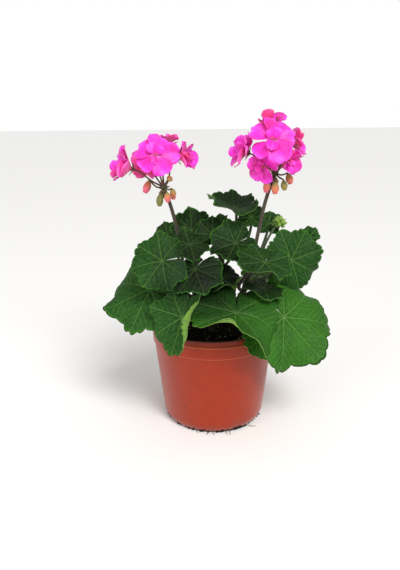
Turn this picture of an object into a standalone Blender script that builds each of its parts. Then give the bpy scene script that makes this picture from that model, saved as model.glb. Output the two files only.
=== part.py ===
"""A zonal geranium in a 12 cm plastic nursery pot.

The origin is the middle of the pot's foot, on the surface that it stands on. +Z is up and -Y is
the plant's front. The plant is laid out from the middle of the soil surface, in units that are a
millimetre on a pot with a 60 mm rim radius, so a plant grows with its pot.
"""

import math

import bmesh
import bpy
from mathutils import Vector

MM = 0.001
GAP = 0.3 * MM  # clearance between pieces that touch on the real plant

# The pot: a thin moulded wall with a rim band, a ledge and an upstanding lip.
POT_HEIGHT = 98.5 * MM
POT_RIM_RADIUS = 60.0 * MM
POT_BASE_RADIUS = 49.6 * MM
POT_WALL = 1.5 * MM
RIM_BAND_HEIGHT = 11.5 * MM
RIM_BAND_STEP = 1.1 * MM  # how far the band stands proud of the body below it
LIP_HEIGHT = 5.3 * MM
LIP_SET_BACK = 2.2 * MM  # how far the lip stands inside the band
FOOT_HEIGHT = 6.0 * MM
FOOT_RADIUS = 45.5 * MM
FOOT_RING_WIDTH = 4.0 * MM
CHANNEL_WIDTH = 12.0 * MM  # raised annular channel that holds the drainage holes
CHANNEL_RISE = 3.0 * MM
DRAIN_HOLES = 8
DRAIN_HOLE_RADIUS = 3.5 * MM
POT_SIDES = 36

# The potting mix fills the pot to below the lip.
SOIL_DROP = 11.5 * MM  # from the lip's top down to the soil
STEM_DEPTH = 30.0 * MM  # how far the stem is buried

# Growth sizes.
LEAF_THICKNESS = 0.8 * MM
STEM_RADIUS = 4.6 * MM
SHOOT_RADIUS = 3.4 * MM
PEDUNCLE_RADIUS = 1.7 * MM
PETIOLE_RADIUS = 1.3 * MM
PEDICEL_RADIUS = 0.75 * MM
RECEPTACLE_RADIUS = 3.4 * MM
FLORET_DIAMETER = 38.0 * MM
PETAL_THICKNESS = 0.8 * MM
PETALS = 5

SOIL_LEVEL = POT_HEIGHT - SOIL_DROP
UNIT = POT_RIM_RADIUS / (60.0 * MM)  # how large the plant is, 1 on the 120 mm pot
LEAF_RAYS = 16
FOOT_FLARE = 1.25  # a leaf's stalk is this much wider where it leaves its stem
FOOT_PINCH = 0.6  # and a flower head's is this much narrower
STALK_SIDES = 5

COLOURS = {
    "terracotta_plastic": ((0.52, 0.13, 0.05), 0.45),
    "potting_mix": ((0.03, 0.02, 0.013), 0.95),
    "leaf_green": ((0.035, 0.16, 0.025), 0.5),
    "stem_green": ((0.10, 0.20, 0.05), 0.55),
    "woody_stem": ((0.16, 0.12, 0.06), 0.7),
    "petal_pink": ((0.85, 0.03, 0.42), 0.5),
    "bud_green": ((0.20, 0.26, 0.07), 0.6),
}


def material(name):
    """One Principled material for each finish."""
    if name in bpy.data.materials:
        return bpy.data.materials[name]
    colour, roughness = COLOURS[name]
    made = bpy.data.materials.new(name)
    made.use_nodes = True
    shader = made.node_tree.nodes["Principled BSDF"]
    shader.inputs["Base Color"].default_value = (*colour, 1.0)
    shader.inputs["Roughness"].default_value = roughness
    shader.inputs["Metallic"].default_value = 0.0
    return made


def add_object(name, verts, faces, finish, smooth=True):
    """A mesh object at the origin, from points and faces."""
    mesh = bpy.data.meshes.new(name)
    mesh.from_pydata([tuple(v) for v in verts], [], faces)
    work = bmesh.new()
    work.from_mesh(mesh)
    bmesh.ops.recalc_face_normals(work, faces=work.faces)
    if work.calc_volume(signed=True) < 0.0:
        bmesh.ops.reverse_faces(work, faces=work.faces)
    work.to_mesh(mesh)
    work.free()
    mesh.materials.append(material(finish))
    made = bpy.data.objects.new(name, mesh)
    bpy.context.scene.collection.objects.link(made)
    if smooth:
        mesh.shade_smooth()
        mesh.set_sharp_from_angle(angle=math.radians(40.0))
    return made


def lathe(name, profile, finish, sides=POT_SIDES):
    """A turned solid: the profile starts and ends on the axis, as (radius, height)."""
    verts, rings = [], []
    for radius, height in profile:
        if radius == 0.0:
            rings.append([len(verts)])
            verts.append((0.0, 0.0, height))
            continue
        rings.append(list(range(len(verts), len(verts) + sides)))
        for step in range(sides):
            turn = 2.0 * math.pi * step / sides
            verts.append((radius * math.cos(turn), radius * math.sin(turn), height))
    faces = []
    for low, high in zip(rings, rings[1:]):
        for step in range(sides):
            after = (step + 1) % sides
            if len(low) == 1:
                faces.append((low[0], high[step], high[after]))
            elif len(high) == 1:
                faces.append((low[step], high[0], low[after]))
            else:
                faces.append((low[step], low[after], high[after], high[step]))
    return add_object(name, verts, faces, finish)


# ---------------------------------------------------------------- pot and soil


def pot_levels():
    """The heights where the pot's outline turns, from the lip down."""
    ledge = POT_HEIGHT - LIP_HEIGHT
    return ledge, ledge - RIM_BAND_HEIGHT


def inner_radius(height):
    """The inside of the pot's wall: straight at the rim, then tapering to the floor."""
    _, band_foot = pot_levels()
    mouth = POT_RIM_RADIUS - LIP_SET_BACK - POT_WALL
    if height >= band_foot:
        return mouth
    share = (height - FOOT_HEIGHT) / (band_foot - FOOT_HEIGHT)
    base = POT_BASE_RADIUS - POT_WALL
    return base + (mouth - base) * share


def build_pot():
    ledge, band_foot = pot_levels()
    body_top = POT_RIM_RADIUS - 0.6 * MM - RIM_BAND_STEP
    lip = POT_RIM_RADIUS - LIP_SET_BACK
    soften = 0.4 * MM
    ring_in = FOOT_RADIUS - FOOT_RING_WIDTH
    channel_in = ring_in - CHANNEL_WIDTH
    slope = CHANNEL_RISE * 0.5
    floor_in = FOOT_RADIUS - POT_WALL
    profile = [
        (0.0, 0.0),
        (channel_in, 0.0),
        (channel_in + slope, CHANNEL_RISE),
        (ring_in - slope, CHANNEL_RISE),
        (ring_in, 0.0),
        (FOOT_RADIUS - soften, 0.0),
        (FOOT_RADIUS, soften),
        (POT_BASE_RADIUS, FOOT_HEIGHT),
        (body_top, band_foot - soften),
        (body_top + RIM_BAND_STEP, band_foot),
        (POT_RIM_RADIUS, ledge - soften),
        (POT_RIM_RADIUS - soften, ledge),
        (lip, ledge),
        (lip, POT_HEIGHT - soften),
        (lip - soften, POT_HEIGHT),
        (lip - POT_WALL + soften, POT_HEIGHT),
        (lip - POT_WALL, POT_HEIGHT - soften),
        (inner_radius(band_foot), band_foot),
        (inner_radius(FOOT_HEIGHT), FOOT_HEIGHT),
        (floor_in, POT_WALL),
        (ring_in, POT_WALL),
        (ring_in - slope, POT_WALL + CHANNEL_RISE),
        (channel_in + slope, POT_WALL + CHANNEL_RISE),
        (channel_in, POT_WALL),
        (0.0, POT_WALL),
    ]
    pot = lathe("pot", profile, "terracotta_plastic")
    middle = (ring_in + channel_in) / 2.0
    verts, faces = [], []
    cut_height = 4.0 * (POT_WALL + CHANNEL_RISE)
    sides = 12
    for hole in range(DRAIN_HOLES):
        turn = 2.0 * math.pi * (hole + 0.5) / DRAIN_HOLES
        centre = Vector((middle * math.cos(turn), middle * math.sin(turn), 0.0))
        first = len(verts)
        for height in (-cut_height / 2.0, cut_height / 2.0):
            for step in range(sides):
                angle = 2.0 * math.pi * step / sides
                edge = Vector((math.cos(angle), math.sin(angle), 0.0)) * DRAIN_HOLE_RADIUS
                verts.append(centre + edge + Vector((0.0, 0.0, height)))
        for step in range(sides):
            after = (step + 1) % sides
            faces.append(
                (first + step, first + after, first + sides + after, first + sides + step)
            )
        faces.append(tuple(first + step for step in reversed(range(sides))))
        faces.append(tuple(first + sides + step for step in range(sides)))
    cutter = add_object("drain_hole_cutter", verts, faces, "terracotta_plastic")
    cutter.hide_render = True
    cutter.display_type = "WIRE"
    cut = pot.modifiers.new("drain_holes", "BOOLEAN")
    cut.operation = "DIFFERENCE"
    cut.solver = "EXACT"
    cut.object = cutter


def build_potting_mix():
    """One plug of mix, clear of the pot all round, with a socket for the buried stem."""
    ring_in = FOOT_RADIUS - FOOT_RING_WIDTH
    channel_in = ring_in - CHANNEL_WIDTH
    floor = POT_WALL + GAP
    raised = floor + CHANNEL_RISE
    slope = CHANNEL_RISE * 0.5
    _, band_foot = pot_levels()
    socket = STEM_RADIUS * UNIT + GAP
    mound = 1.0 * MM
    profile = [
        (0.0, floor),
        (channel_in - GAP, floor),
        (channel_in + slope - GAP, raised),
        (ring_in - slope + GAP, raised),
        (ring_in + GAP, floor),
        (FOOT_RADIUS - POT_WALL - 2.0 * GAP, floor),
        (inner_radius(FOOT_HEIGHT) - 2.0 * GAP, FOOT_HEIGHT),
        (inner_radius(band_foot) - 2.0 * GAP, band_foot),
        (inner_radius(SOIL_LEVEL) - 2.0 * GAP, SOIL_LEVEL - mound),
        (inner_radius(SOIL_LEVEL) * 0.6, SOIL_LEVEL),
        (socket, SOIL_LEVEL + mound),
        (socket, SOIL_LEVEL - STEM_DEPTH * UNIT - GAP),
        (0.0, SOIL_LEVEL - STEM_DEPTH * UNIT - GAP),
    ]
    lathe("potting_mix", profile, "potting_mix")


# ---------------------------------------------------------------- curves and tubes


def place(x, y, z):
    """A point of the plant, in plant units from the middle of the soil surface."""
    return Vector((x * MM * UNIT, y * MM * UNIT, z * MM * UNIT + SOIL_LEVEL))


def smooth_path(points, steps):
    """Points along a Catmull-Rom curve through the given ones."""
    ends = [points[0] * 2.0 - points[1], *points, points[-1] * 2.0 - points[-2]]
    path = []
    for first in range(len(points) - 1):
        a, b, c, d = ends[first : first + 4]
        for step in range(steps):
            t = step / steps
            path.append(
                0.5 * (2.0 * b + (c - a) * t + (2.0 * a - 5.0 * b + 4.0 * c - d) * t * t
                       + (3.0 * b - a - 3.0 * c + d) * t * t * t)
            )
    path.append(points[-1].copy())
    return path


def bezier(a, b, c, d, steps):
    path = []
    for step in range(steps + 1):
        t = step / steps
        s = 1.0 - t
        path.append(a * s**3 + b * 3.0 * s * s * t + c * 3.0 * s * t * t + d * t**3)
    return path


def tangents(path):
    spans = []
    for here in range(len(path)):
        before = path[max(here - 1, 0)]
        after = path[min(here + 1, len(path) - 1)]
        spans.append((after - before).normalized())
    return spans


def tube_rings(path, radii, sides, side_at_end):
    """Rings of points along a path. Ring point 0 at the path's end faces side_at_end."""
    along = tangents(path)
    frame = side_at_end - along[-1] * side_at_end.dot(along[-1])
    frame.normalize()
    rings = []
    for here in reversed(range(len(path))):
        frame = (frame - along[here] * frame.dot(along[here])).normalized()
        across = along[here].cross(frame)
        ring = []
        for step in range(sides):
            turn = 2.0 * math.pi * step / sides
            offset = frame * math.cos(turn) + across * math.sin(turn)
            ring.append(path[here] + offset * radii[here])
        rings.append(ring)
    rings.reverse()
    return rings


def strip(faces, low, high):
    for step in range(len(low)):
        after = (step + 1) % len(low)
        faces.append((low[step], low[after], high[after]))
        faces.append((low[step], high[after], high[step]))


def build_tube(name, path, radii, sides, finish):
    """A closed tube whose radius follows the list, with a point at each end."""
    side = Vector((1.0, 0.0, 0.0))
    if abs(tangents(path)[-1].x) > 0.8:
        side = Vector((0.0, 1.0, 0.0))
    rings = tube_rings(path, radii, sides, side)
    verts = [point for ring in rings for point in ring]
    index = [list(range(r * sides, (r + 1) * sides)) for r in range(len(rings))]
    faces = []
    for low, high in zip(index, index[1:]):
        strip(faces, low, high)
    for ring, centre in ((index[0], path[0]), (index[-1], path[-1])):
        verts.append(centre)
        for step in range(sides):
            faces.append((ring[step], ring[(step + 1) % sides], len(verts) - 1))
    return add_object(name, verts, faces, finish)


# ---------------------------------------------------------------- blades


def leaf_radius(turn, width):
    """A kidney-shaped outline with seven lobes; turn is measured from the tip."""
    back = abs(turn) / math.pi
    lobe = 0.045 * math.cos(8.0 * turn) * (1.0 - back**4)
    reach = 0.53 - 0.10 * back * back
    sinus = 0.80 * max(0.0, (back - 0.86) / 0.14) ** 1.5
    return width * (reach + lobe) * (1.0 - sinus)


def corolla_radius(turn, width):
    """Five round petals, notched apart to two fifths of their length."""
    petal = abs(math.cos(PETALS * turn / 2.0)) ** 0.5
    return width * 0.5 * (0.46 + 0.54 * petal)


def blade_point(hub, face, tip, radius, turn, share, cone, bend, lift):
    """A point on the middle surface and its normal, at a share of the way to the margin.

    The ray leaves the hub at the cone angle below the blade's plane and bends on evenly.
    """
    side = face.cross(tip)
    out = tip * math.cos(turn) + side * math.sin(turn)
    total = bend if abs(bend) > 1e-3 else 1e-3
    angle = cone + total * share
    reach = radius * (math.sin(angle) - math.sin(cone)) / total
    fall = radius * (math.cos(cone) - math.cos(angle)) / total
    point = hub + out * reach - face * fall + face * lift * share * share
    normal = (out * math.sin(angle) + face * math.cos(angle)).normalized()
    return point, normal


def bend_at(turn, bends):
    """Blend the tip, left, right and back bends round the blade, in radians."""
    (tip, left, right, back), hanging = bends
    ahead, across = math.cos(turn), math.sin(turn)
    total = (tip if ahead > 0.0 else back) * ahead * ahead
    total += (left if across > 0.0 else right) * across * across
    if hanging:
        centre, extra, spread = hanging
        total += extra * math.exp(-(((turn - centre) / spread) ** 2))
    return total


def build_blade(name, hub, face, tip, outline, bends, cone, wave, thick, stalk, stalk_radius,
                finish, rays=LEAF_RAYS, shares=(0.42, 0.76, 1.0), waves=3.0, lift=0.0):
    """A thin curved blade and its stalk, as one closed solid.

    stalk is the path from the foot to just under the hub.
    """
    face = face.normalized()
    tip = (tip - face * tip.dot(face)).normalized()
    verts, faces = [hub + face * thick / 2.0], []
    tops, bottoms = [], []
    for share in shares:
        top, bottom = [], []
        for ray in range(rays):
            turn = 2.0 * math.pi * ray / rays
            turn = turn - 2.0 * math.pi if turn > math.pi else turn
            ripple = wave * math.sin(waves * turn + 1.1 * waves) * share
            point, normal = blade_point(
                hub, face, tip, outline(turn), turn, share, cone, bend_at(turn, bends) + ripple,
                lift,
            )
            top.append(len(verts))
            verts.append(point + normal * thick / 2.0)
            bottom.append(len(verts))
            verts.append(point - normal * thick / 2.0)
        tops.append(top)
        bottoms.append(bottom)
    collar = []
    for ray in range(rays):
        turn = 2.0 * math.pi * ray / rays
        side = face.cross(tip)
        out = tip * math.cos(turn) + side * math.sin(turn)
        collar.append(len(verts))
        verts.append(hub - face * thick / 2.0 + out * stalk_radius * 1.4)
    for ray in range(rays):
        after = (ray + 1) % rays
        faces.append((0, tops[0][ray], tops[0][after]))
    for low, high in zip(tops, tops[1:]):
        strip(faces, low, high)
    strip(faces, tops[-1], bottoms[-1])
    for low, high in zip(reversed(bottoms), list(reversed(bottoms))[1:]):
        strip(faces, low, high)
    strip(faces, bottoms[0], collar)

    widths = [stalk_radius * (FOOT_FLARE if here == 0 else 1.0) for here in range(len(stalk))]
    rings = tube_rings(stalk, widths, STALK_SIDES, tip)
    index = []
    for ring in rings:
        index.append(list(range(len(verts), len(verts) + STALK_SIDES)))
        verts.extend(ring)
    for low, high in zip(index, index[1:]):
        strip(faces, low, high)
    crown = index[-1]
    nearest = [round(ray * STALK_SIDES / rays) % STALK_SIDES for ray in range(rays)]
    for ray in range(rays):
        after = (ray + 1) % rays
        faces.append((collar[ray], collar[after], crown[nearest[ray]]))
        if nearest[ray] != nearest[after]:
            faces.append((collar[after], crown[nearest[after]], crown[nearest[ray]]))
    verts.append(stalk[0])
    for step in range(STALK_SIDES):
        faces.append((index[0][step], index[0][(step + 1) % STALK_SIDES], len(verts) - 1))
    return add_object(name, verts, faces, finish)


# ---------------------------------------------------------------- stems

# Each stem is its route in plant units and its radius at the foot and at the top. A shoot also
# names the share of the way up the main stem where it springs.
STEM_ROUTES = {
    "stem": (
        None,
        [(0, 0, -STEM_DEPTH / MM), (0, 0, 0), (3, 1, 22), (6, 3, 45), (8, 4, 66), (8, 5, 84)],
        STEM_RADIUS, 0.62 * STEM_RADIUS,
    ),
    "shoot_left": (
        0.29, [(-12, -1, 21), (-18, 1, 40), (-21, 3, 62)], SHOOT_RADIUS, 0.7 * SHOOT_RADIUS,
    ),
    "shoot_right": (
        0.34, [(20, -2, 26), (30, -3, 44), (36, -2, 66)], SHOOT_RADIUS, 0.7 * SHOOT_RADIUS,
    ),
    "shoot_back": (
        0.31, [(4, 18, 19), (3, 27, 34), (1, 31, 50)], SHOOT_RADIUS, 0.7 * SHOOT_RADIUS,
    ),
}
STEM_SIDES = 8
STEM_STEPS = 4


def stem_path(name):
    springs, route, foot, top = STEM_ROUTES[name]
    points = [place(*point) for point in route]
    if springs is not None:
        start, set_off = foot_on("stem", springs, points[0], foot * UNIT)
        points = [start, start + set_off * 1.2 * foot * UNIT, *points]
    path = smooth_path(points, STEM_STEPS)
    last = len(path) - 1
    radii = [(foot + (top - foot) * here / last) * UNIT for here in range(len(path))]
    radii[-1] *= 0.6
    return path, radii


def build_stems():
    for name in STEM_ROUTES:
        path, radii = stem_path(name)
        build_tube(name, path, radii, STEM_SIDES, "woody_stem")


def foot_on(stem, share, towards, width):
    """Where a stalk of this width leaves a stem, and the way it sets off."""
    path, radii = stem_path(stem)
    at = share * (len(path) - 1)
    low = min(int(at), len(path) - 2)
    axis = path[low].lerp(path[low + 1], at - low)
    radius = radii[low] + (radii[low + 1] - radii[low]) * (at - low)
    along = (path[low + 1] - path[low]).normalized()
    out = towards - axis
    out = (out - along * out.dot(along)).normalized()
    set_off = (out * 0.75 + along * 0.66).normalized()
    clear = radius + GAP + 0.85 * width * math.sqrt(1.0 - set_off.dot(out) ** 2)
    return axis + out * clear, set_off


# ---------------------------------------------------------------- leaves

# name: hub, way the upper side faces, way the tip points, width,
#       bends at (tip, left, right, back), ripple, stem, share of the way up it
LEAVES = {
    "leaf_front_saddle": (
        (18, -55, 38), (0.14, -0.34, 0.93), (-0.05, -0.94, 0.05), 86,
        (-0.75, 0.45, 0.30, 0.1), 0.15, "stem", 0.62),
    "leaf_right_large": (
        (64, -35, 26), (0.20, -0.84, 0.50), (0.62, -0.20, -0.76), 88,
        (0.25, 0.95, 0.20, 1.4), 0.18, "shoot_right", 0.30),
    "leaf_left_upper": (
        (-46, -39, 82), (-0.12, -0.86, 0.50), (-0.92, -0.10, -0.12), 52,
        (0.3, 0.3, 0.5, 0.8), 0.25, "shoot_left", 0.98),
    "leaf_left_lower": (
        (-59, -26, 52), (-0.25, -0.72, 0.64), (-0.90, -0.10, -0.42), 80,
        (0.35, 0.30, 1.15, 1.4), 0.20, "shoot_left", 0.45),
    "leaf_over_rim_left": (
        (-28, -66, 39), (-0.42, -0.80, 0.36), (-0.18, -0.10, -0.96), 60,
        (0.2, -2.2, 0.4, 1.0), 0.15, "stem", 0.45),
    "leaf_left_shaded": (
        (-26, -29, 36), (-0.25, -0.40, 0.86), (-0.70, -0.60, -0.10), 30,
        (0.5, 0.4, 0.4, 0.2), 0.2, "shoot_left", 0.20),
    "leaf_centre_fan": (
        (-20, 24, 96), (-0.05, -0.80, 0.55), (-0.05, 0.45, 0.85), 36,
        (-0.5, -0.4, -0.4, 0.3), 0.25, "shoot_left", 0.96),
    "leaf_left_small": (
        (-44, 30, 91), (-0.45, -0.70, 0.50), (-0.30, 0.30, 0.90), 22,
        (-0.3, -0.3, -0.3, 0.2), 0.2, "shoot_left", 0.90),
    "leaf_centre_left": (
        (-22, -12, 90), (0.05, -0.32, 0.95), (-0.95, -0.22, -0.02), 37,
        (0.4, 0.35, 0.2, 0.2), 0.25, "stem", 0.93),
    "leaf_centre_low": (
        (-17, -37, 73), (-0.10, -0.54, 0.83), (-0.50, -0.75, -0.40), 48,
        (0.5, 0.45, 1.4, 0.6), 0.22, "shoot_left", 0.65),
    "leaf_centre_upright": (
        (21, -8, 90), (-0.02, -0.68, 0.73), (-0.80, -0.35, -0.10), 43,
        (0.1, -0.3, -0.5, 0.1), 0.2, "stem", 0.80),
    "leaf_centre_back": (
        (0, 8, 95), (-0.10, -0.75, 0.65), (0.0, 0.45, 0.85), 28,
        (-0.4, -0.4, -0.4, 0.2), 0.2, "stem", 0.96),
    "leaf_centre_folded": (
        (9, 19, 100), (-0.62, -0.62, 0.45), (-0.15, 0.30, 0.90), 24,
        (-0.2, 0.5, -0.3, 0.2), 0.2, "stem", 0.90),
    "leaf_top": (
        (22, 14, 120), (0.10, -0.06, 0.98), (-0.97, -0.10, 0.16), 54,
        (-0.35, 0.1, -0.3, -0.6), 0.22, "stem", 0.98),
    "leaf_top_right": (
        (37, 9, 111), (-0.25, -0.75, 0.60), (0.0, 0.40, 0.85), 26,
        (0.2, 0.3, 0.3, 0.2), 0.2, "shoot_right", 0.97),
    "leaf_behind_truss": (
        (58, 40, 98), (-0.10, -0.80, 0.60), (0.15, 0.50, 0.82), 26,
        (0.2, 0.35, -0.25, 0.2), 0.2, "shoot_right", 0.86),
    "leaf_right_facing": (
        (73, -11, 74), (0.10, -0.94, 0.30), (0.94, 0.05, 0.33), 55,
        (0.20, 0.1, 1.00, 0.3), 0.22, "shoot_right", 0.78),
    "leaf_right_tip": (
        (92, 10, 90), (-0.35, -0.85, 0.40), (0.70, 0.15, 0.70), 22,
        (0.2, 0.7, -0.5, 0.2), 0.2, "shoot_right", 0.92),
    "leaf_centre_right": (
        (45, -38, 79), (0.14, -0.36, 0.92), (-0.35, -0.90, -0.10), 48,
        (-0.15, 0.25, 0.25, -0.3), 0.22, "shoot_right", 0.62),
    "leaf_right_under": (
        (45, -26, 52), (0.15, -0.10, 0.98), (0.75, -0.50, -0.10), 34,
        (0.5, 0.4, 0.4, 0.1), 0.2, "shoot_right", 0.50),
    "leaf_inner": (
        (3, -17, 60), (-0.15, -0.25, 0.95), (-0.10, -0.95, -0.10), 32,
        (0.4, 0.4, 0.4, 0.1), 0.2, "stem", 0.70),
    "leaf_back_left": (
        (-46, 37, 44), (-0.50, 0.45, 0.75), (-0.65, 0.55, -0.45), 58,
        (0.5, 0.4, 0.4, 0.0), 0.25, "shoot_back", 0.85),
    "leaf_back_middle": (
        (0, 64, 32), (0.00, 0.60, 0.80), (0.05, 0.80, -0.55), 62,
        (0.6, 0.5, 0.5, 0.0), 0.25, "shoot_back", 0.92),
    "leaf_back_right": (
        (56, 40, 42), (0.50, 0.48, 0.70), (0.60, 0.60, -0.50), 56,
        (0.5, 0.4, 0.4, 0.0), 0.25, "shoot_back", 0.70),
    "leaf_left_low": (
        (-62, 10, 24), (-0.62, 0.15, 0.74), (-0.80, 0.15, -0.55), 50,
        (0.5, 0.4, 0.4, 0.0), 0.22, "shoot_left", 0.12),
    "leaf_right_low": (
        (70, 14, 22), (0.60, 0.20, 0.74), (0.80, 0.25, -0.55), 48,
        (0.5, 0.4, 0.4, 0.0), 0.22, "shoot_right", 0.15),
}
# A lobe that hangs further than the rest: its turn from the tip, its extra bend and its spread.
HANGING_LOBES = {"leaf_front_saddle": (0.95, 1.3, 0.55)}


def stalk_path(foot, set_off, hub, face, tip, steps, shy):
    """A bent stalk from its foot to a point just below the hub."""
    face = face.normalized()
    tip = (tip - face * tip.dot(face)).normalized()
    span = (hub - foot).length
    arrive = face * 0.45 + tip * 0.40 + (hub - foot) / span * 0.60
    arrive += face * max(0.0, 0.35 - arrive.dot(face))
    arrive.normalize()
    end = hub - arrive * shy
    return bezier(foot, foot + set_off * span * 0.35, end - arrive * span * 0.30, end, steps)


def build_leaves():
    for name, row in LEAVES.items():
        spot, face, tip, width, bends, ripple, stem, share = row
        hub, face, tip = place(*spot), Vector(face), Vector(tip)
        radius = PETIOLE_RADIUS * UNIT
        foot, set_off = foot_on(stem, share, hub, radius * FOOT_FLARE)
        shy = LEAF_THICKNESS / 2.0 + 1.6 * radius
        path = stalk_path(foot, set_off, hub, face, tip, 7, shy)
        span = width * MM * UNIT
        build_blade(
            name, hub, face, tip, lambda turn, span=span: leaf_radius(turn, span),
            (bends, HANGING_LOBES.get(name)), -0.12, ripple, LEAF_THICKNESS, path, radius, "leaf_green",
            shares=(0.42, 0.76, 1.0) if width > 48 else (0.55, 1.0),
        )


# ---------------------------------------------------------------- flower heads

# Peduncle routes in plant units; a head's own pieces are measured from its receptacle, in units
# that are a millimetre on a floret 38 mm across.
HEADS = {
    "left": ("shoot_left", 0.86, [(-29, 5, 78), (-33, 5, 98), (-39, 3, 123), (-45, -4, 143)]),
    "right": ("shoot_right", 0.72, [(36, -8, 68), (41, -6, 94), (48, -4, 127), (57, 0, 154)]),
}
FLORETS = {
    "left_floret_front": ("left", (-5, -15, 29), (0.0, -0.88, 0.45), 40, -0.05),
    "left_floret_side": ("left", (-27, -1, 16), (-0.88, -0.28, 0.36), 38, -0.80),
    "left_floret_right": ("left", (13, 1, 25), (0.90, -0.25, 0.30), 34, -0.80),
    "left_floret_top": ("left", (-1, 12, 33), (0.05, 0.35, 0.94), 34, -0.60),
    "left_floret_back": ("left", (-14, 20, 17), (-0.35, 0.90, 0.30), 34, -0.40),
    "right_floret_front": ("right", (-6, -19, 30), (-0.05, -0.86, 0.50), 44, -0.05),
    "right_floret_left": ("right", (-25, -3, 18), (-0.88, -0.34, 0.30), 36, -0.70),
    "right_floret_low": ("right", (-12, -15, 8), (-0.35, -0.88, -0.22), 30, -0.40),
    "right_floret_under": ("right", (9, -12, 12), (0.60, -0.76, -0.10), 26, -0.60),
    "right_floret_right": ("right", (14, 3, 24), (0.90, -0.25, 0.35), 34, -0.65),
    "right_floret_top": ("right", (-3, 9, 37), (0.0, 0.25, 0.97), 36, -0.75),
    "right_floret_back": ("right", (2, 22, 13), (0.15, 0.95, 0.20), 36, -0.40),
}
# bud: head, tip of the bud, bud length, bud radius
BUDS = {
    "left_bud_pink": ("left", (-17, -4, -5), 12, 2.6),
    "left_bud_long": ("left", (-4, -6, -17), 11, 2.4),
    "left_bud_front": ("left", (4, -9, -13), 9, 2.3),
    "left_bud_right": ("left", (9, 0, -10), 8, 2.1),
    "left_bud_back": ("left", (-2, 9, -12), 8, 2.0),
    "left_calyx": ("left", (7, -3, 9), 5, 2.2),
    "right_bud_long": ("right", (-9, -8, -17), 12, 2.5),
    "right_bud_front": ("right", (-1, -11, -18), 11, 2.6),
    "right_bud_outer": ("right", (14, -4, -10), 10, 2.6),
    "right_bud_right": ("right", (8, -9, -15), 9, 2.3),
    "right_bud_back": ("right", (2, 9, -13), 8, 2.1),
}


def head_unit():
    return FLORET_DIAMETER / (38.0 * MM)


def receptacle(head):
    return place(*HEADS[head][2][-1])


def head_foot(head, offset, width):
    """A foot on the receptacle's knob, spread a little wider than the piece's own bearing."""
    way = Vector((offset.x * 1.5, offset.y * 1.5, offset.z)).normalized()
    return receptacle(head) + way * (RECEPTACLE_RADIUS + GAP + 0.1 * width), way


def build_heads():
    for side, (stem, share, route) in HEADS.items():
        points = [place(*point) for point in route]
        foot, set_off = foot_on(stem, share, points[0], PEDUNCLE_RADIUS * FOOT_PINCH)
        rise = 0.36 * (points[0] - foot).length
        path = smooth_path([foot, foot + set_off * rise, *points], 4)
        core = path[-1]
        along = tangents(path)[-1]
        path = [point for point in path if (point - core).length > RECEPTACLE_RADIUS * 1.15]
        radii = [PEDUNCLE_RADIUS * FOOT_PINCH] + [PEDUNCLE_RADIUS] * (len(path) - 1)
        for step in range(7):
            turn = -math.cos(math.radians(30.0 * step)) if step else -0.98
            path.append(core + along * RECEPTACLE_RADIUS * turn)
            radii.append(max(RECEPTACLE_RADIUS * math.sqrt(1.0 - turn * turn), 0.9 * MM))
        build_tube(f"{side}_truss_stalk", path, radii, 8, "stem_green")
    for name, (side, spot, face, width, cone) in FLORETS.items():
        offset = Vector(spot) * MM * head_unit()
        hub = receptacle(side) + offset
        face = Vector(face).normalized()
        tip = Vector((0.15, 0.1, 1.0)) if abs(face.z) < 0.9 else Vector((0.1, -1.0, 0.2))
        foot, set_off = head_foot(side, offset, PEDICEL_RADIUS)
        end = hub - face * (PETAL_THICKNESS / 2.0 + 2.0 * MM)
        span = (hub - foot).length
        path = bezier(foot, foot + set_off * span * 0.4, end - face * span * 0.3, end, 6)
        size = width * MM * head_unit()
        build_blade(
            name, hub, face, tip, lambda turn, size=size: corolla_radius(turn, size),
            ((0.35, 0.35, 0.35, 0.35), None), cone, 0.0, PETAL_THICKNESS, path, PEDICEL_RADIUS,
            "petal_pink", rays=20, shares=(0.5, 1.0),
        )
    for name, (side, spot, length, radius) in BUDS.items():
        offset = Vector(spot) * MM * head_unit()
        foot, set_off = head_foot(side, offset, PEDICEL_RADIUS)
        end = receptacle(side) + offset
        drop = Vector((0.0, 0.0, -1.0)) if spot[2] < 0 else offset.normalized()
        span = (end - foot).length
        reach = length * MM * head_unit()
        neck = end - (drop * 0.8 + (end - foot).normalized() * 0.4).normalized() * reach
        path = bezier(foot, foot + set_off * span * 0.3, neck - drop * span * 0.1, neck, 5)
        radii = [PEDICEL_RADIUS] * len(path)
        for share, swell in ((0.2, 0.7), (0.45, 1.0), (0.7, 0.95), (0.9, 0.6), (1.0, 0.25)):
            path.append(neck.lerp(end, share))
            radii.append(radius * MM * head_unit() * swell)
        build_tube(name, path, radii, 6, "bud_green")


YOUNG_TRUSS = ("shoot_right", 0.90, [(52, 16, 84), (62, 26, 98), (71, 31, 105)])


def build_young_truss():
    """A short stalk with a knob of closed green buds."""
    stem, share, route = YOUNG_TRUSS
    width = 1.2 * MM * UNIT
    points = [place(*point) for point in route]
    foot, set_off = foot_on(stem, share, points[0], width)
    rise = 0.36 * (points[0] - foot).length
    path = smooth_path([foot, foot + set_off * rise, *points], 4)
    knob = 6.0 * MM * UNIT
    radii = [width] * (len(path) - 4) + [knob * s for s in (0.45, 0.9, 1.0, 0.55)]
    build_tube("young_truss", path, radii, 8, "bud_green")


for old in list(bpy.data.objects):
    bpy.data.objects.remove(old, do_unlink=True)
build_pot()
build_potting_mix()
build_stems()
build_leaves()
build_heads()
build_young_truss()
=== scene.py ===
import math
import random

import bmesh
import bpy
import numpy as np
from mathutils import Matrix, Vector, noise


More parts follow.
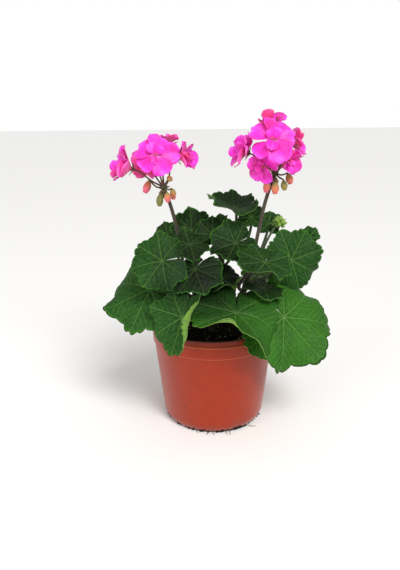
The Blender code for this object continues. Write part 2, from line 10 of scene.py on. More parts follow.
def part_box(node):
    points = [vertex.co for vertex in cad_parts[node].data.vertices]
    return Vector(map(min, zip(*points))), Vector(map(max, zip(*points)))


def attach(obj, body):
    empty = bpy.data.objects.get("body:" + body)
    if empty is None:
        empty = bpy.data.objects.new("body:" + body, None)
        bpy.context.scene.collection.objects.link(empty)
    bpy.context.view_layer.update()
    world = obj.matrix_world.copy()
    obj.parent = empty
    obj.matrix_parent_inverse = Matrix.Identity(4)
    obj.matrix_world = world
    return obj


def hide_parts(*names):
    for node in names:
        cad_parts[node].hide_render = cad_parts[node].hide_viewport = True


# A zonal geranium in a 12 cm plastic nursery pot, from the floor up to its flowers.
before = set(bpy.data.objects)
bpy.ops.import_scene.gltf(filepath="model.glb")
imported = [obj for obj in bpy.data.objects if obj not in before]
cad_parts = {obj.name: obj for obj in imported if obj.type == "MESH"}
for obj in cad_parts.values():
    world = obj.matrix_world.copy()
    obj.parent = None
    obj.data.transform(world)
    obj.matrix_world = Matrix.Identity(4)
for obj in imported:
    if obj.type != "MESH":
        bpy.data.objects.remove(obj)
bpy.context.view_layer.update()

# ---------------------------------------------------------------- view, floor and light
# A plain pale floor under a large overhead scrim and two softboxes, with white card all round. The
# eye is half a metre in front of the pot and level with the flowers, looking down into the plant.
MM = 0.001
EYE = (-0.0156, -0.528, 0.2985)
scene = bpy.context.scene
# How far the camera looks down, looks right and is tilted, in radians.
LOOK_DOWN, LOOK_RIGHT, TILT = 0.3015, 0.0056, -0.0104
camera_data = bpy.data.cameras.new("camera")
camera_data.sensor_width = 36.0
camera_data.lens = 36.03
camera_data.clip_start = 0.01
camera = bpy.data.objects.new("camera", camera_data)
camera.matrix_world = (
    Matrix.Translation(EYE)
    @ Matrix.Rotation(-LOOK_RIGHT, 4, "Z")
    @ Matrix.Rotation(math.pi / 2.0 - LOOK_DOWN, 4, "X")
    @ Matrix.Rotation(TILT, 4, "Z")
)
scene.collection.objects.link(camera)
scene.camera = camera
scene.view_settings.view_transform = "Standard"


def linear(code):
    """An sRGB hex value as a linear colour with alpha 1."""
    channels = [int(code[at : at + 2], 16) / 255.0 for at in (1, 3, 5)]
    return (*[c / 12.92 if c <= 0.04045 else ((c + 0.055) / 1.055) ** 2.4 for c in channels], 1.0)


def add_node(tree, kind, inputs=None, **settings):
    """Adds a node. Its inputs, by name or place, are values or sockets to link."""
    node = tree.nodes.new(kind)
    for name, value in settings.items():
        setattr(node, name, value)
    for key, value in (inputs or {}).items():
        if isinstance(value, bpy.types.NodeSocket):
            tree.links.new(value, node.inputs[key])
        else:
            node.inputs[key].default_value = value
    return node


def new_material(name):
    """An empty Principled material: its name, tree and shader."""
    made = bpy.data.materials.new(name)
    made.use_nodes = True
    return made, made.node_tree, made.node_tree.nodes["Principled BSDF"]


# Matt white card: it takes a soft shadow and shows no gloss.
floor_card, tree, shader = new_material("white_card")
shader.inputs["Base Color"].default_value = linear("#f6f5f3")
shader.inputs["Roughness"].default_value = 0.85
floor_mesh = bpy.data.meshes.new("floor")
FLOOR_REACH = 8.0
corners = [(x * FLOOR_REACH, y * FLOOR_REACH, 0.0) for x, y in ((-1, -1), (1, -1), (1, 1), (-1, 1))]
floor_mesh.from_pydata(corners, [], [(0, 1, 2, 3)])
floor_mesh.materials.append(floor_card)
floor = bpy.data.objects.new("floor", floor_mesh)
floor.location.z = -0.2 * MM
scene.collection.objects.link(floor)

world = bpy.data.worlds.new("white_card_surround")
scene.world = world
world.use_nodes = True
backdrop = world.node_tree.nodes["Background"]
backdrop.inputs["Color"].default_value = linear("#ffffff")
# The card looks white to the eye, and gives about half as much light as that.
seen = add_node(world.node_tree, "ShaderNodeLightPath").outputs["Is Camera Ray"]
glow = add_node(world.node_tree, "ShaderNodeMapRange", {"Value": seen, "To Min": 0.55, "To Max": 1.0})
world.node_tree.links.new(glow.outputs[0], backdrop.inputs["Strength"])


def softbox(name, place, target, size, power):
    """A square area light, facing its target."""
    data = bpy.data.lights.new(name, "AREA")
    data.size = size
    data.energy = power
    light = bpy.data.objects.new(name, data)
    light.location = place
    light.rotation_euler = (Vector(target) - Vector(place)).to_track_quat("-Z", "Y").to_euler()
    scene.collection.objects.link(light)


softbox("front_softbox", (0.55, -0.9, 0.95), (0, 0, 0.15), 0.35, 4.5)
softbox("fill_softbox", (-1.1, -0.9, 0.55), (0, 0, 0.18), 0.6, 5.0)
key_data = bpy.data.lights.new("overhead_scrim", "SUN")
key_data.angle = math.radians(24.0)
key_data.energy = 1.75
key = bpy.data.objects.new("overhead_scrim", key_data)
key.rotation_euler = Vector((-0.30, 0.72, -0.85)).to_track_quat("-Z", "Y").to_euler()
scene.collection.objects.link(key)

# ---------------------------------------------------------------- pot
# A thin injection-moulded polypropylene nursery pot, terracotta in colour, with a rim band, a
# ledge and an upstanding lip for stacking, a foot ring and a raised channel with drain holes.


def finish_mesh(name, verts, faces, materials, slots=None, crease=None):
    """A shaded mesh object at the origin, with its faces turned outwards."""
    mesh = bpy.data.meshes.new(name)
    mesh.from_pydata([tuple(v) for v in verts], [], faces)
    for made in materials:
        mesh.materials.append(made)
    if slots is not None:
        mesh.polygons.foreach_set("material_index", slots)
    work = bmesh.new()
    work.from_mesh(mesh)
    bmesh.ops.recalc_face_normals(work, faces=work.faces)
    work.to_mesh(mesh)
    work.free()
    mesh.shade_smooth()
    if crease:
        mesh.set_sharp_from_angle(angle=math.radians(crease))
    made = bpy.data.objects.new(name, mesh)
    scene.collection.objects.link(made)
    return made


def plain_copy(piece):
    """Replaces a piece by the plain mesh that its modifiers give."""
    graph = bpy.context.evaluated_depsgraph_get()
    mesh = bpy.data.meshes.new_from_object(piece.evaluated_get(graph))
    piece.modifiers.clear()
    old, piece.data = piece.data, mesh
    name = old.name
    bpy.data.meshes.remove(old)
    mesh.name = name
    return piece


def turned(profile, sides, wobble=None):
    """Rings for a profile that starts and ends on the axis, as points and faces."""
    verts, faces, rings = [], [], []
    for row, (radius, height) in enumerate(profile):
        if radius == 0.0:
            rings.append([len(verts)])
            verts.append((0.0, 0.0, height))
            continue
        rings.append(range(len(verts), len(verts) + sides))
        for step in range(sides):
            turn = 2.0 * math.pi * step / sides
            x, y = radius * math.cos(turn), radius * math.sin(turn)
            verts.append((x, y, height + (wobble(row, x, y) if wobble else 0.0)))
    for low, high in zip(rings, rings[1:]):
        for step in range(sides):
            after = (step + 1) % sides
            if len(low) == 1:
                faces.append((low[0], high[after], high[step]))
            elif len(high) == 1:
                faces.append((low[step], low[after], high[0]))
            else:
                faces.append((low[step], low[after], high[after], high[step]))
    return verts, faces


def rounded(profile, radii):
    """Each inner corner of a profile turned into a small arc of five points."""
    points = [profile[0]]
    for here in range(1, len(profile) - 1):
        corner = Vector(profile[here])
        before, after = Vector(profile[here - 1]) - corner, Vector(profile[here + 1]) - corner
        cut = min(radii[here], before.length * 0.45, after.length * 0.45)
        start, end = corner + before.normalized() * cut, corner + after.normalized() * cut
        for step in range(5):
            t = step / 4.0
            points.append(tuple(start * (1 - t) ** 2 + corner * 2 * t * (1 - t) + end * t * t))
    points.append(profile[-1])
    return points


pot_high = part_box("pot")[1]
POT_SIDES = 192
POT_HEIGHT = pot_high[2]
RIM = pot_high[0]
WALL = 1.5 * MM
# The rim band's ledge and lower edge, the lip above it, and the wall where it meets the band.
BAND_TOP = POT_HEIGHT - 5.3 * MM
BAND_FOOT = BAND_TOP - 11.5 * MM
LIP = RIM - 2.2 * MM
BODY_TOP = RIM - 1.7 * MM
# The wall's radius and height just above its rounded foot, and then the foot ring and channel.
BASE, BASE_Z = 49.6 * MM, 6.0 * MM
FOOT, FOOT_RING, CHANNEL, RISE = 45.5 * MM, 4.0 * MM, 12.0 * MM, 3.0 * MM
ring_in, channel_in = FOOT - FOOT_RING, FOOT - FOOT_RING - CHANNEL
slope = RISE * 0.5
DRAIN_HOLES, DRAIN_RADIUS, DRAIN_CUT = 8, 3.5 * MM, 14.0 * MM
pot_profile = [
    (0.0, 0.0), (channel_in, 0.0), (channel_in + slope, RISE), (ring_in - slope, RISE),
    (ring_in, 0.0), (FOOT, 0.0), (BASE, BASE_Z), (BODY_TOP, BAND_FOOT - 0.3 * MM),
    (BODY_TOP + 1.1 * MM, BAND_FOOT), (RIM, BAND_TOP), (LIP, BAND_TOP), (LIP, POT_HEIGHT),
    (LIP - WALL, POT_HEIGHT), (LIP - WALL, BAND_FOOT), (BASE - WALL, BASE_Z),
    (FOOT - WALL, WALL), (ring_in, WALL), (ring_in - slope, WALL + RISE),
    (channel_in + slope, WALL + RISE), (channel_in, WALL), (0.0, WALL),
]
# The radius of each corner, in millimetres.
pot_corners = [0, .6, .6, .6, .6, 1.2, 4.0, .3, .45, .5, .4, .6, .6, 2, 3, 1.2, .6, .6, .6, .6, 0]
verts, faces = turned(rounded(pot_profile, [c * MM for c in pot_corners]), POT_SIDES)

# Satin polypropylene, faintly mottled where the melt cooled, with soil smears near the foot.
pot_plastic, tree, shader = new_material("moulded_polypropylene")
place = add_node(tree, "ShaderNodeTexCoord").outputs["Object"]
height = add_node(tree, "ShaderNodeSeparateXYZ", {0: place}).outputs[2]
mottle = add_node(tree, "ShaderNodeTexNoise", {"Vector": place, "Scale": 90.0, "Detail": 5.0})
flow = add_node(
    tree, "ShaderNodeMapping", {"Vector": place, "Scale": (60.0, 60.0, 9.0)}
).outputs[0]
runs = add_node(tree, "ShaderNodeTexNoise", {"Vector": flow, "Scale": 1.0, "Detail": 4.0})
colour = add_node(
    tree, "ShaderNodeMix",
    {0: mottle.outputs[0], 6: linear("#8c2200"), 7: linear("#9e2c02")}, data_type="RGBA",
).outputs[2]
dusty = add_node(
    tree, "ShaderNodeMapRange",
    {"Value": height, "From Min": 0.0, "From Max": 0.030, "To Min": 0.75, "To Max": 0.0},
)
smear = add_node(
    tree, "ShaderNodeMath", {0: runs.outputs[0], 1: dusty.outputs[0]}, operation="MULTIPLY",
)
smear = add_node(
    tree, "ShaderNodeMapRange", {"Value": smear.outputs[0], "From Min": 0.22, "From Max": 0.50,
                                 "To Min": 0.0, "To Max": 0.55},
)
dust = add_node(
    tree, "ShaderNodeMix", {0: smear.outputs[0], 6: colour, 7: linear("#6b4a38")},
    data_type="RGBA",
)
# Splashes of mix dry on the wall as a few dark specks, 1 to 2 mm across.
specks = add_node(tree, "ShaderNodeTexVoronoi", {"Vector": place, "Scale": 95.0})
rare = add_node(tree, "ShaderNodeTexNoise", {"Vector": place, "Scale": 38.0, "Detail": 1.0})
speck = add_node(
    tree, "ShaderNodeMapRange", {"Value": specks.outputs["Distance"], "From Min": 0.05,
                                 "From Max": 0.13, "To Min": 1.0, "To Max": 0.0},
)
few = add_node(
    tree, "ShaderNodeMapRange", {"Value": rare.outputs[0], "From Min": 0.53, "From Max": 0.58},
)
speck = add_node(
    tree, "ShaderNodeMath", {0: speck.outputs[0], 1: few.outputs[0]}, operation="MULTIPLY",
)
spotted = add_node(
    tree, "ShaderNodeMix", {0: speck.outputs[0], 6: dust.outputs[2], 7: linear("#3a1d12")},
    data_type="RGBA",
)
# The moulding's band edges carry pale lines of painted highlight, the lip is darker towards its top, and
# the foot carries a film of mix.
dirt_and_edge_highlights = spotted.outputs[2]
# Pale painted highlights along the band's upper and lower edges.
for level in (BAND_TOP - 0.2 * MM, BAND_FOOT - 0.1 * MM):
    away = add_node(tree, "ShaderNodeMath", {0: height, 1: level, 2: 0.45 * MM}, operation="COMPARE")
    part = add_node(tree, "ShaderNodeMath", {0: away.outputs[0], 1: 0.55}, operation="MULTIPLY")
    dirt_and_edge_highlights = add_node(
        tree, "ShaderNodeMix", {0: part.outputs[0], 6: dirt_and_edge_highlights, 7: linear("#e07a52")}, data_type="RGBA",
    ).outputs[2]
# The lip's colour turns darker towards its top.
lip_darkening = add_node(
    tree, "ShaderNodeMapRange", {"Value": height, "From Min": BAND_TOP + 1.2 * MM,
                                 "From Max": POT_HEIGHT, "To Max": 0.8},
)
lip_darkening = add_node(
    tree, "ShaderNodeMix", {0: lip_darkening.outputs[0], 6: dirt_and_edge_highlights, 7: linear("#4a1a10")}, data_type="RGBA",
)
grime = add_node(tree, "ShaderNodeTexNoise", {"Vector": place, "Scale": 160.0, "Detail": 4.0})
low = add_node(
    tree, "ShaderNodeMapRange", {"Value": height, "From Min": 0.4 * MM, "From Max": 3.6 * MM,
                                 "To Min": 1.15, "To Max": 0.0},
)
patch = add_node(
    tree, "ShaderNodeMath", {0: grime.outputs[0], 1: low.outputs[0]}, operation="MULTIPLY",
)
patch = add_node(
    tree, "ShaderNodeMapRange", {"Value": patch.outputs[0], "From Min": 0.30, "From Max": 0.42,
                                 "To Max": 0.85},
)
footed = add_node(
    tree, "ShaderNodeMix", {0: patch.outputs[0], 6: lip_darkening.outputs[2], 7: linear("#1c0d08")},
    data_type="RGBA",
)
tree.links.new(footed.outputs[2], shader.inputs["Base Color"])
shader.inputs["Specular IOR Level"].default_value = 0.32
shader.inputs["Sheen Weight"].default_value = 0.28
shader.inputs["Sheen Roughness"].default_value = 0.38
rough = add_node(
    tree, "ShaderNodeMapRange", {"Value": runs.outputs[0], "From Min": 0.3, "From Max": 0.7,
                                 "To Min": 0.36, "To Max": 0.50},
)
tree.links.new(rough.outputs[0], shader.inputs["Roughness"])
grain = add_node(tree, "ShaderNodeTexNoise", {"Vector": place, "Scale": 1400.0, "Detail": 2.0})
bump = add_node(
    tree, "ShaderNodeBump", {"Height": grain.outputs[0], "Strength": 0.08, "Distance": 0.1 * MM},
)
tree.links.new(bump.outputs[0], shader.inputs["Normal"])

pot = finish_mesh("nursery_pot", verts, faces, [pot_plastic], crease=50)
cutter_mesh = bpy.data.meshes.new("drain_cutter")
work = bmesh.new()
middle = (ring_in + channel_in) / 2.0
for hole in range(DRAIN_HOLES):
    turn = 2.0 * math.pi * (hole + 0.5) / DRAIN_HOLES
    bmesh.ops.create_cone(
        work, cap_ends=True, segments=48, radius1=DRAIN_RADIUS, radius2=DRAIN_RADIUS,
        depth=DRAIN_CUT,
        matrix=Matrix.Translation((middle * math.cos(turn), middle * math.sin(turn), 0.0)),
    )
work.to_mesh(cutter_mesh)
work.free()
cutter = bpy.data.objects.new("drain_cutter", cutter_mesh)
scene.collection.objects.link(cutter)
drain = pot.modifiers.new("drain_holes", "BOOLEAN")
drain.object = cutter
plain_copy(pot)
bpy.data.objects.remove(cutter)
pot.data.set_sharp_from_angle(angle=math.radians(50))
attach(pot, "root")
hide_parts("pot")

# ---------------------------------------------------------------- potting mix
# Moist peat-based mix, nearly black, with clods, white perlite grains and pale root fibres, filled
# to a finger's width under the lip and sunk a little at the wall.
soil_low, soil_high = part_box("potting_mix")
SOIL = soil_high[2] - 1.0 * MM
SOIL_SIDES, SOIL_RINGS, CROWN, CLEARANCE = 160, 44, 0.8 * MM, 0.6 * MM
soil_edge = soil_high[0]


def heave(x, y):
    """How far the mix stands above its mean level."""
    spot = Vector((x, y, 0.0))
    lumps = noise.fractal(spot * 90.0, 1.0, 2.0, 4) * 1.3 + noise.noise(spot * 420.0) * 0.5
    edge = min(1.0, (soil_edge - math.hypot(x, y)) / (4.0 * MM))
    return (lumps * edge - 0.6 * (1.0 - edge)) * MM


soil_profile = [
    (0.0, soil_low[2]), (FOOT - WALL - CLEARANCE, soil_low[2]), (BASE - WALL - CLEARANCE, BASE_Z),
    (LIP - WALL - CLEARANCE, BAND_FOOT),
]
first_top = len(soil_profile)
for step in range(SOIL_RINGS):
    share = 1.0 - step / SOIL_RINGS
    soil_profile.append((soil_edge * share, SOIL + CROWN * (1.0 - share)))
soil_profile.append((0.0, SOIL + CROWN))
verts, faces = turned(
    soil_profile, SOIL_SIDES, lambda row, x, y: heave(x, y) if row >= first_top else 0.0
)

# Moist peat: nearly black, matt and crumbly, with a little gloss from the water.
peat, tree, shader = new_material("moist_peat_mix")
place = add_node(tree, "ShaderNodeTexCoord").outputs["Object"]
clods = add_node(tree, "ShaderNodeTexNoise", {"Vector": place, "Scale": 260.0, "Detail": 8.0})
soil_colour = add_node(
    tree, "ShaderNodeMix", {0: clods.outputs[0], 6: linear("#060403"), 7: linear("#2b1d14")},
    data_type="RGBA",
)
tree.links.new(soil_colour.outputs[2], shader.inputs["Base Color"])
shader.inputs["Roughness"].default_value = 0.92
shader.inputs["Specular IOR Level"].default_value = 0.25
crumble = add_node(
    tree, "ShaderNodeBump", {"Height": clods.outputs[0], "Strength": 0.9, "Distance": 0.6 * MM},
)
tree.links.new(crumble.outputs[0], shader.inputs["Normal"])
soil = finish_mesh("potting_mix_bed", verts, faces, [peat], crease=60)
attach(soil, "root")
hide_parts("potting_mix")


def scatter_tree(name, finish, stretch, rough):
    """Grains strewn over a surface: Count per square metre, Least and Most size, and Seed."""
    group = bpy.data.node_groups.new(name, "GeometryNodeTree")
    face = group.interface
    face.new_socket("Geometry", in_out="INPUT", socket_type="NodeSocketGeometry")
    for label, kind in (("Count", "Float"), ("Least", "Float"), ("Most", "Float"), ("Seed", "Int")):
        face.new_socket(label, in_out="INPUT", socket_type=f"NodeSocket{kind}")
    face.new_socket("Geometry", in_out="OUTPUT", socket_type="NodeSocketGeometry")
    given = add_node(group, "NodeGroupInput").outputs
    points = add_node(
        group, "GeometryNodeDistributePointsOnFaces",
        {"Mesh": given["Geometry"], "Density": given["Count"], "Seed": given["Seed"]},
    )
    grain = add_node(group, "GeometryNodeMeshIcoSphere", {"Radius": 0.5, "Subdivisions": rough})
    shaped = add_node(
        group, "GeometryNodeTransform", {"Geometry": grain.outputs[0], "Scale": stretch},
    )
    full_turn = (6.28, 6.28, 6.28)
    turn = add_node(
        group, "FunctionNodeRandomValue", {"Max": full_turn, "Seed": given["Seed"]},
        data_type="FLOAT_VECTOR",
    )
    size = add_node(group, "FunctionNodeRandomValue", data_type="FLOAT")
    group.links.new(given["Least"], size.inputs[2])
    group.links.new(given["Most"], size.inputs[3])
    group.links.new(given["Seed"], size.inputs["Seed"])
    strewn = add_node(
        group, "GeometryNodeInstanceOnPoints",
        {"Points": points.outputs["Points"], "Instance": shaped.outputs[0],
         "Rotation": turn.outputs[0], "Scale": size.outputs[1]},
    )
    solid = add_node(group, "GeometryNodeRealizeInstances", {0: strewn.outputs[0]})
    painted = add_node(group, "GeometryNodeSetMaterial", {"Geometry": solid.outputs[0]})
    painted.inputs["Material"].default_value = finish
    add_node(group, "NodeGroupOutput", {0: painted.outputs[0]})
    return group


def strew(name, host, group, **values):
    """A copy of the host carries the scatter, and becomes the plain mesh of its grains."""
    piece = bpy.data.objects.new(name, host.data.copy())
    scene.collection.objects.link(piece)
    scatter = piece.modifiers.new("scatter", "NODES")
    scatter.node_group = group
    for item in group.interface.items_tree:
        if item.in_out == "INPUT" and item.name in values:
            scatter[item.identifier] = values[item.name]
    plain_copy(piece)
    piece.data.name = name
    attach(piece, "root")
    return piece


def flow_line(rows, steps):
    """A smooth line through rows of numbers."""
    rows = np.asarray(rows, float)
    ends = np.vstack([2 * rows[0] - rows[1], rows, 2 * rows[-1] - rows[-2]])
    out = []
    for here in range(len(rows) - 1):
        a, b, c, d = ends[here : here + 4]
        for step in range(steps):
            t = step / steps
            out.append(
                0.5 * (2 * b + (c - a) * t + (2 * a - 5 * b + 4 * c - d) * t * t
                       + (3 * b - a - 3 * c + d) * t**3)
            )
    out.append(rows[-1])
    return np.array(out)


def limb(line, sides, ribs=0, rib=0.0):
    """A closed tube along rows of x, y, z and radius, as points, faces and a UV per point.

    It may have lengthwise ribs, whose height is the share rib of the radius.
    """
    centres, radii = line[:, :3], line[:, 3]
    along = np.gradient(centres, axis=0)
    along /= np.linalg.norm(along, axis=1)[:, None] + 1e-12
    side = np.array([1.0, 0.0, 0.0]) if abs(along[0][0]) < 0.8 else np.array([0.0, 1.0, 0.0])
    run = np.concatenate([[0.0], np.cumsum(np.linalg.norm(np.diff(centres, axis=0), axis=1))])
    verts, uvs = [centres[0]], [(0.0, 0.0)]
    turns = 2.0 * math.pi * np.arange(sides) / sides
    for here in range(len(line)):
        side = side - along[here] * side.dot(along[here])
        side /= np.linalg.norm(side)
        across = np.cross(along[here], side)
        for turn in turns:
            reach = radii[here] * (1.0 + rib * math.cos(ribs * turn))
            verts.append(centres[here] + (side * math.cos(turn) + across * math.sin(turn)) * reach)
            uvs.append((turn / (2.0 * math.pi), run[here]))
    verts.append(centres[-1])
    uvs.append((0.0, run[-1]))
    faces = []
    for step in range(sides):
        after = (step + 1) % sides
        faces.append((0, 1 + after, 1 + step))
        for here in range(len(line) - 1):
            low = 1 + here * sides
            faces.append((low + step, low + after, low + sides + after, low + sides + step))
        low = 1 + (len(line) - 1) * sides
        faces.append((low + step, low + after, len(verts) - 1))
    return verts, faces, uvs


class Parts:
    """Collects closed shapes for one piece, with a slot and values at each point."""

    def __init__(self):
        self.verts, self.faces, self.slots, self.uvs, self.marks = [], [], [], [], []

    def add(self, verts, faces, uvs, slot, mark):
        """mark is one number for the shape, or one for each of its points."""
        first = len(self.verts)
        self.verts.extend(tuple(v) for v in verts)
        self.faces.extend(tuple(first + v for v in face) for face in faces)
        self.slots.extend([slot] * len(faces))
        self.uvs.extend(uvs)
        marks = mark if hasattr(mark, "__len__") else [mark] * len(verts)
        self.marks.extend(float(m) for m in marks)

    def piece(self, name, materials):
        """One finished object of all the shapes, riding on the root."""
        made = finish_mesh(name, self.verts, self.faces, materials, self.slots)
        mesh = made.data
        layer = mesh.uv_layers.new(name="flat")
        order = np.empty(len(mesh.loops), int)
        mesh.loops.foreach_get("vertex_index", order)
        layer.data.foreach_set("uv", np.array(self.uvs, float)[order].ravel())
        mark = mesh.attributes.new("mark", "FLOAT", "POINT")
        mark.data.foreach_set("value", np.array(self.marks, float))
        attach(made, "root")
        return made


# The strewn grains start from a square net over the mix, cut to the pot's round mouth.
verts, faces = [], []
cells, NET_REACH, MOUTH = 70, 54.0 * MM, 53.5 * MM
for row in range(cells + 1):
    for column in range(cells + 1):
        x = (2.0 * column / cells - 1.0) * NET_REACH
        y = (2.0 * row / cells - 1.0) * NET_REACH
        verts.append((x, y, SOIL + heave(x, y) + 0.5 * MM))
for row in range(cells):
    for column in range(cells):
        corner = row * (cells + 1) + column
        square = (corner, corner + 1, corner + cells + 2, corner + cells + 1)
        if all(math.hypot(*verts[v][:2]) < MOUTH for v in square):
            faces.append(square)
host_mesh = bpy.data.meshes.new("mix_surface")
host_mesh.from_pydata(verts, [], faces)
host = bpy.data.objects.new("mix_surface", host_mesh)

# Expanded perlite: chalk-white, matt grains.
perlite, tree, shader = new_material("expanded_perlite")
shader.inputs["Base Color"].default_value = linear("#dedad2")
shader.inputs["Roughness"].default_value = 0.9
# Coir fibre: dull brown hairs, 5 to 12 mm long and up to 0.3 mm thick.
fibre, tree, shader = new_material("coir_fibre")
shader.inputs["Base Color"].default_value = linear("#5d4630")
shader.inputs["Roughness"].default_value = 0.85

crumbs = strew(
    "mix_crumbs", host, scatter_tree("crumbs", peat, (1.0, 0.8, 0.65), 1),
    Count=160000.0, Least=1.0 * MM, Most=3.2 * MM, Seed=4,
)
grains = strew(
    "perlite_grains", host, scatter_tree("perlite", perlite, (1.0, 0.85, 0.8), 1),
    Count=14000.0, Least=0.7 * MM, Most=2.1 * MM, Seed=11,
)
threads = strew(
    "coir_threads", host, scatter_tree("threads", fibre, (9.0, 0.22, 0.22), 1),
    Count=11000.0, Least=0.6 * MM, Most=1.3 * MM, Seed=23,
)
bpy.data.objects.remove(host)
bpy.data.meshes.remove(host_mesh)

# Crumbs of mix and a few rootlets that have come through the drain holes cling round the foot.
CLINGING_CRUMBS, ROOTLETS = 84, 7
dice = random.Random(9)
clinging = Parts()
for step in range(CLINGING_CRUMBS):
    turn = dice.gauss(-1.25, 0.8) if step % 3 else dice.uniform(0.0, 6.28)
    size = dice.uniform(0.35, 1.3) * MM
    rise = size * 1.1 + dice.random() ** 2 * 2.6 * MM
    reach = FOOT + (BASE - FOOT) * rise / BASE_Z + size * 0.25
    middle = np.array([reach * math.cos(turn), reach * math.sin(turn), rise])
    line = [[*(middle + np.array([0.0, 0.0, size * t])), size * math.sqrt(1.04 - t * t)]
            for t in (-0.95, -0.5, 0.1, 0.6, 0.95)]
    clinging.add(*limb(np.array(line), 6, ribs=2, rib=0.2), 0, 0.0)
for step in range(ROOTLETS):
    turn = dice.gauss(-1.50, 0.35)
    reach = FOOT + 0.2 * MM
    out = np.array([math.cos(turn), math.sin(turn), 0.0])
    side = np.array([-out[1], out[0], 0.0]) * dice.uniform(-1.0, 1.0)
    long = dice.uniform(3.0, 8.5) * MM
    line = [[*(out * (reach + long * t) + side * long * t * t
               + np.array([0.0, 0.0, 1.6 * MM * (1.0 - t) ** 2 + 0.35 * MM])), 0.30 * MM - 0.12 * MM * t]
            for t in (0.0, 0.25, 0.5, 0.75, 1.0)]
    clinging.add(*limb(np.array(line), 6), 1, 0.0)
crust = clinging.piece("foot_crumbs", [peat, fibre])

# ---------------------------------------------------------------- stem and shoots
# A semi-woody green-brown stem, thickened at each node where a leaf has stood, with three side
# shoots that leave it just above the mix.


def read_rings(name, near=None):
    """A CAD solid's rings of points from one end to the other, and its first face's normal.

    A blade is read from its hub, and a tube from the end that is nearest to the given point.
    """
    work = bmesh.new()
    work.from_mesh(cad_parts[name].data)
    bmesh.ops.remove_doubles(work, verts=work.verts, dist=0.001 * MM)
    work.normal_update()
    if near is None:
        hub = max(work.verts, key=lambda v: len(v.link_edges))
        rings, normal = [[hub]], hub.normal.copy()
    else:
        rings, normal = [end_ring(work, near)], None
    seen = set(rings[0])
    while True:
        ring = []
        for v in rings[-1]:
            for edge in v.link_edges:
                other = edge.other_vert(v)
                if other not in seen:
                    seen.add(other)
                    ring.append(other)
        if not ring:
            break
        rings.append(ring)
    if near is None:
        count = len(rings[1])
        first = (rings[1][0].co - hub.co).normalized()
        across = normal.cross(first)
        rings[1].sort(
            key=lambda v: math.atan2((v.co - hub.co).dot(across), (v.co - hub.co).dot(first))
        )
        for level in range(2, len(rings)):
            if len(rings[level]) != count:
                break
            beyond, ordered = set(rings[level]), []
            for here in range(count):
                both = [
                    {edge.other_vert(v) for edge in v.link_edges} & beyond
                    for v in (rings[level - 1][here], rings[level - 1][here - 1])
                ]
                shared = both[0] & both[1]
                ordered.append(shared.pop() if shared else None)
            if None in ordered or len(set(ordered)) != count:
                break
            rings[level] = ordered
    points = [np.array([v.co[:] for v in ring]) for ring in rings]
    work.free()
    return points, None if normal is None else np.array(normal)


def end_ring(work, near):
    """The corners of a tube's flat round end, at the end nearest to a point."""
    ends, seen = [], set()
    for seed in work.faces:
        if seed in seen:
            continue
        group, edge_of_group = {seed}, [seed]
        while edge_of_group:
            face = edge_of_group.pop()
            for edge in face.edges:
                for other in edge.link_faces:
                    if other not in group and other.normal.angle(seed.normal, 9.0) < 0.002:
                        group.add(other)
                        edge_of_group.append(other)
        seen |= group
        corners = list({v for face in group for v in face.verts})
        middle = sum((v.co for v in corners), Vector()) / len(corners)
        reach = [(v.co - middle).length for v in corners]
        if len(corners) >= 5 and max(reach) < min(reach) * 1.03:
            ends.append((middle, corners))
    return min(ends, key=lambda end: (end[0] - near).length)[1]


def spine(rings):
    """The middle and the mean radius of each ring, as rows of x, y, z and radius."""
    rows = []
    for ring in rings:
        middle = ring.mean(axis=0)
        rows.append([*middle, float(np.linalg.norm(ring - middle, axis=1).mean())])
    return np.array(rows)


def unit(way):
    """A vector's direction."""
    return way / np.linalg.norm(way)


def sunk(rows, depth):
    """A tube's rows with one more at the start, set back by a depth into what bears it."""
    start = rows[0].copy()
    start[:3] -= unit(rows[1, :3] - rows[0, :3]) * depth
    return np.vstack([start, rows])


def stalk_material(name, dark, light, spots):
    """Ridged, faintly hairy skin: streaks along the stalk and darker, redder patches."""
    made, tree, shader = new_material(name)
    uv = add_node(tree, "ShaderNodeUVMap", uv_map="flat").outputs[0]
    place = add_node(tree, "ShaderNodeTexCoord").outputs["Object"]
    stretched = add_node(tree, "ShaderNodeMapping", {"Vector": uv, "Scale": (14.0, 120.0, 1.0)})
    streaks = add_node(
        tree, "ShaderNodeTexNoise", {"Vector": stretched.outputs[0], "Scale": 1.0, "Detail": 4.0},
    )
    blotch = add_node(tree, "ShaderNodeTexNoise", {"Vector": place, "Scale": 70.0, "Detail": 3.0})
    skin = add_node(
        tree, "ShaderNodeMix", {0: streaks.outputs[0], 6: linear(dark), 7: linear(light)},
        data_type="RGBA",
    )
    share = add_node(
        tree, "ShaderNodeMapRange", {"Value": blotch.outputs[0], "From Min": 0.45,
                                     "From Max": 0.70, "To Max": 0.7},
    )
    patched = add_node(
        tree, "ShaderNodeMix", {0: share.outputs[0], 6: skin.outputs[2], 7: linear(spots)},
        data_type="RGBA",
    )
    tree.links.new(patched.outputs[2], shader.inputs["Base Color"])
    shader.inputs["Roughness"].default_value = 0.52
    shader.inputs["Sheen Weight"].default_value = 0.12
    relief = add_node(
        tree, "ShaderNodeBump",
        {"Height": streaks.outputs[0], "Strength": 0.5, "Distance": 0.25 * MM},
    )
    tree.links.new(relief.outputs[0], shader.inputs["Normal"])
    return made


# Green-brown bark, streaked along the stem, and the smoother green skin of the leaf stalks.
stem_bark = stalk_material("semi_woody_stem_bark", "#14130a", "#38351c", "#24180e")
leaf_stalk_skin = stalk_material("leaf_stalk_skin", "#1c3010", "#3f5a24", "#33281a")

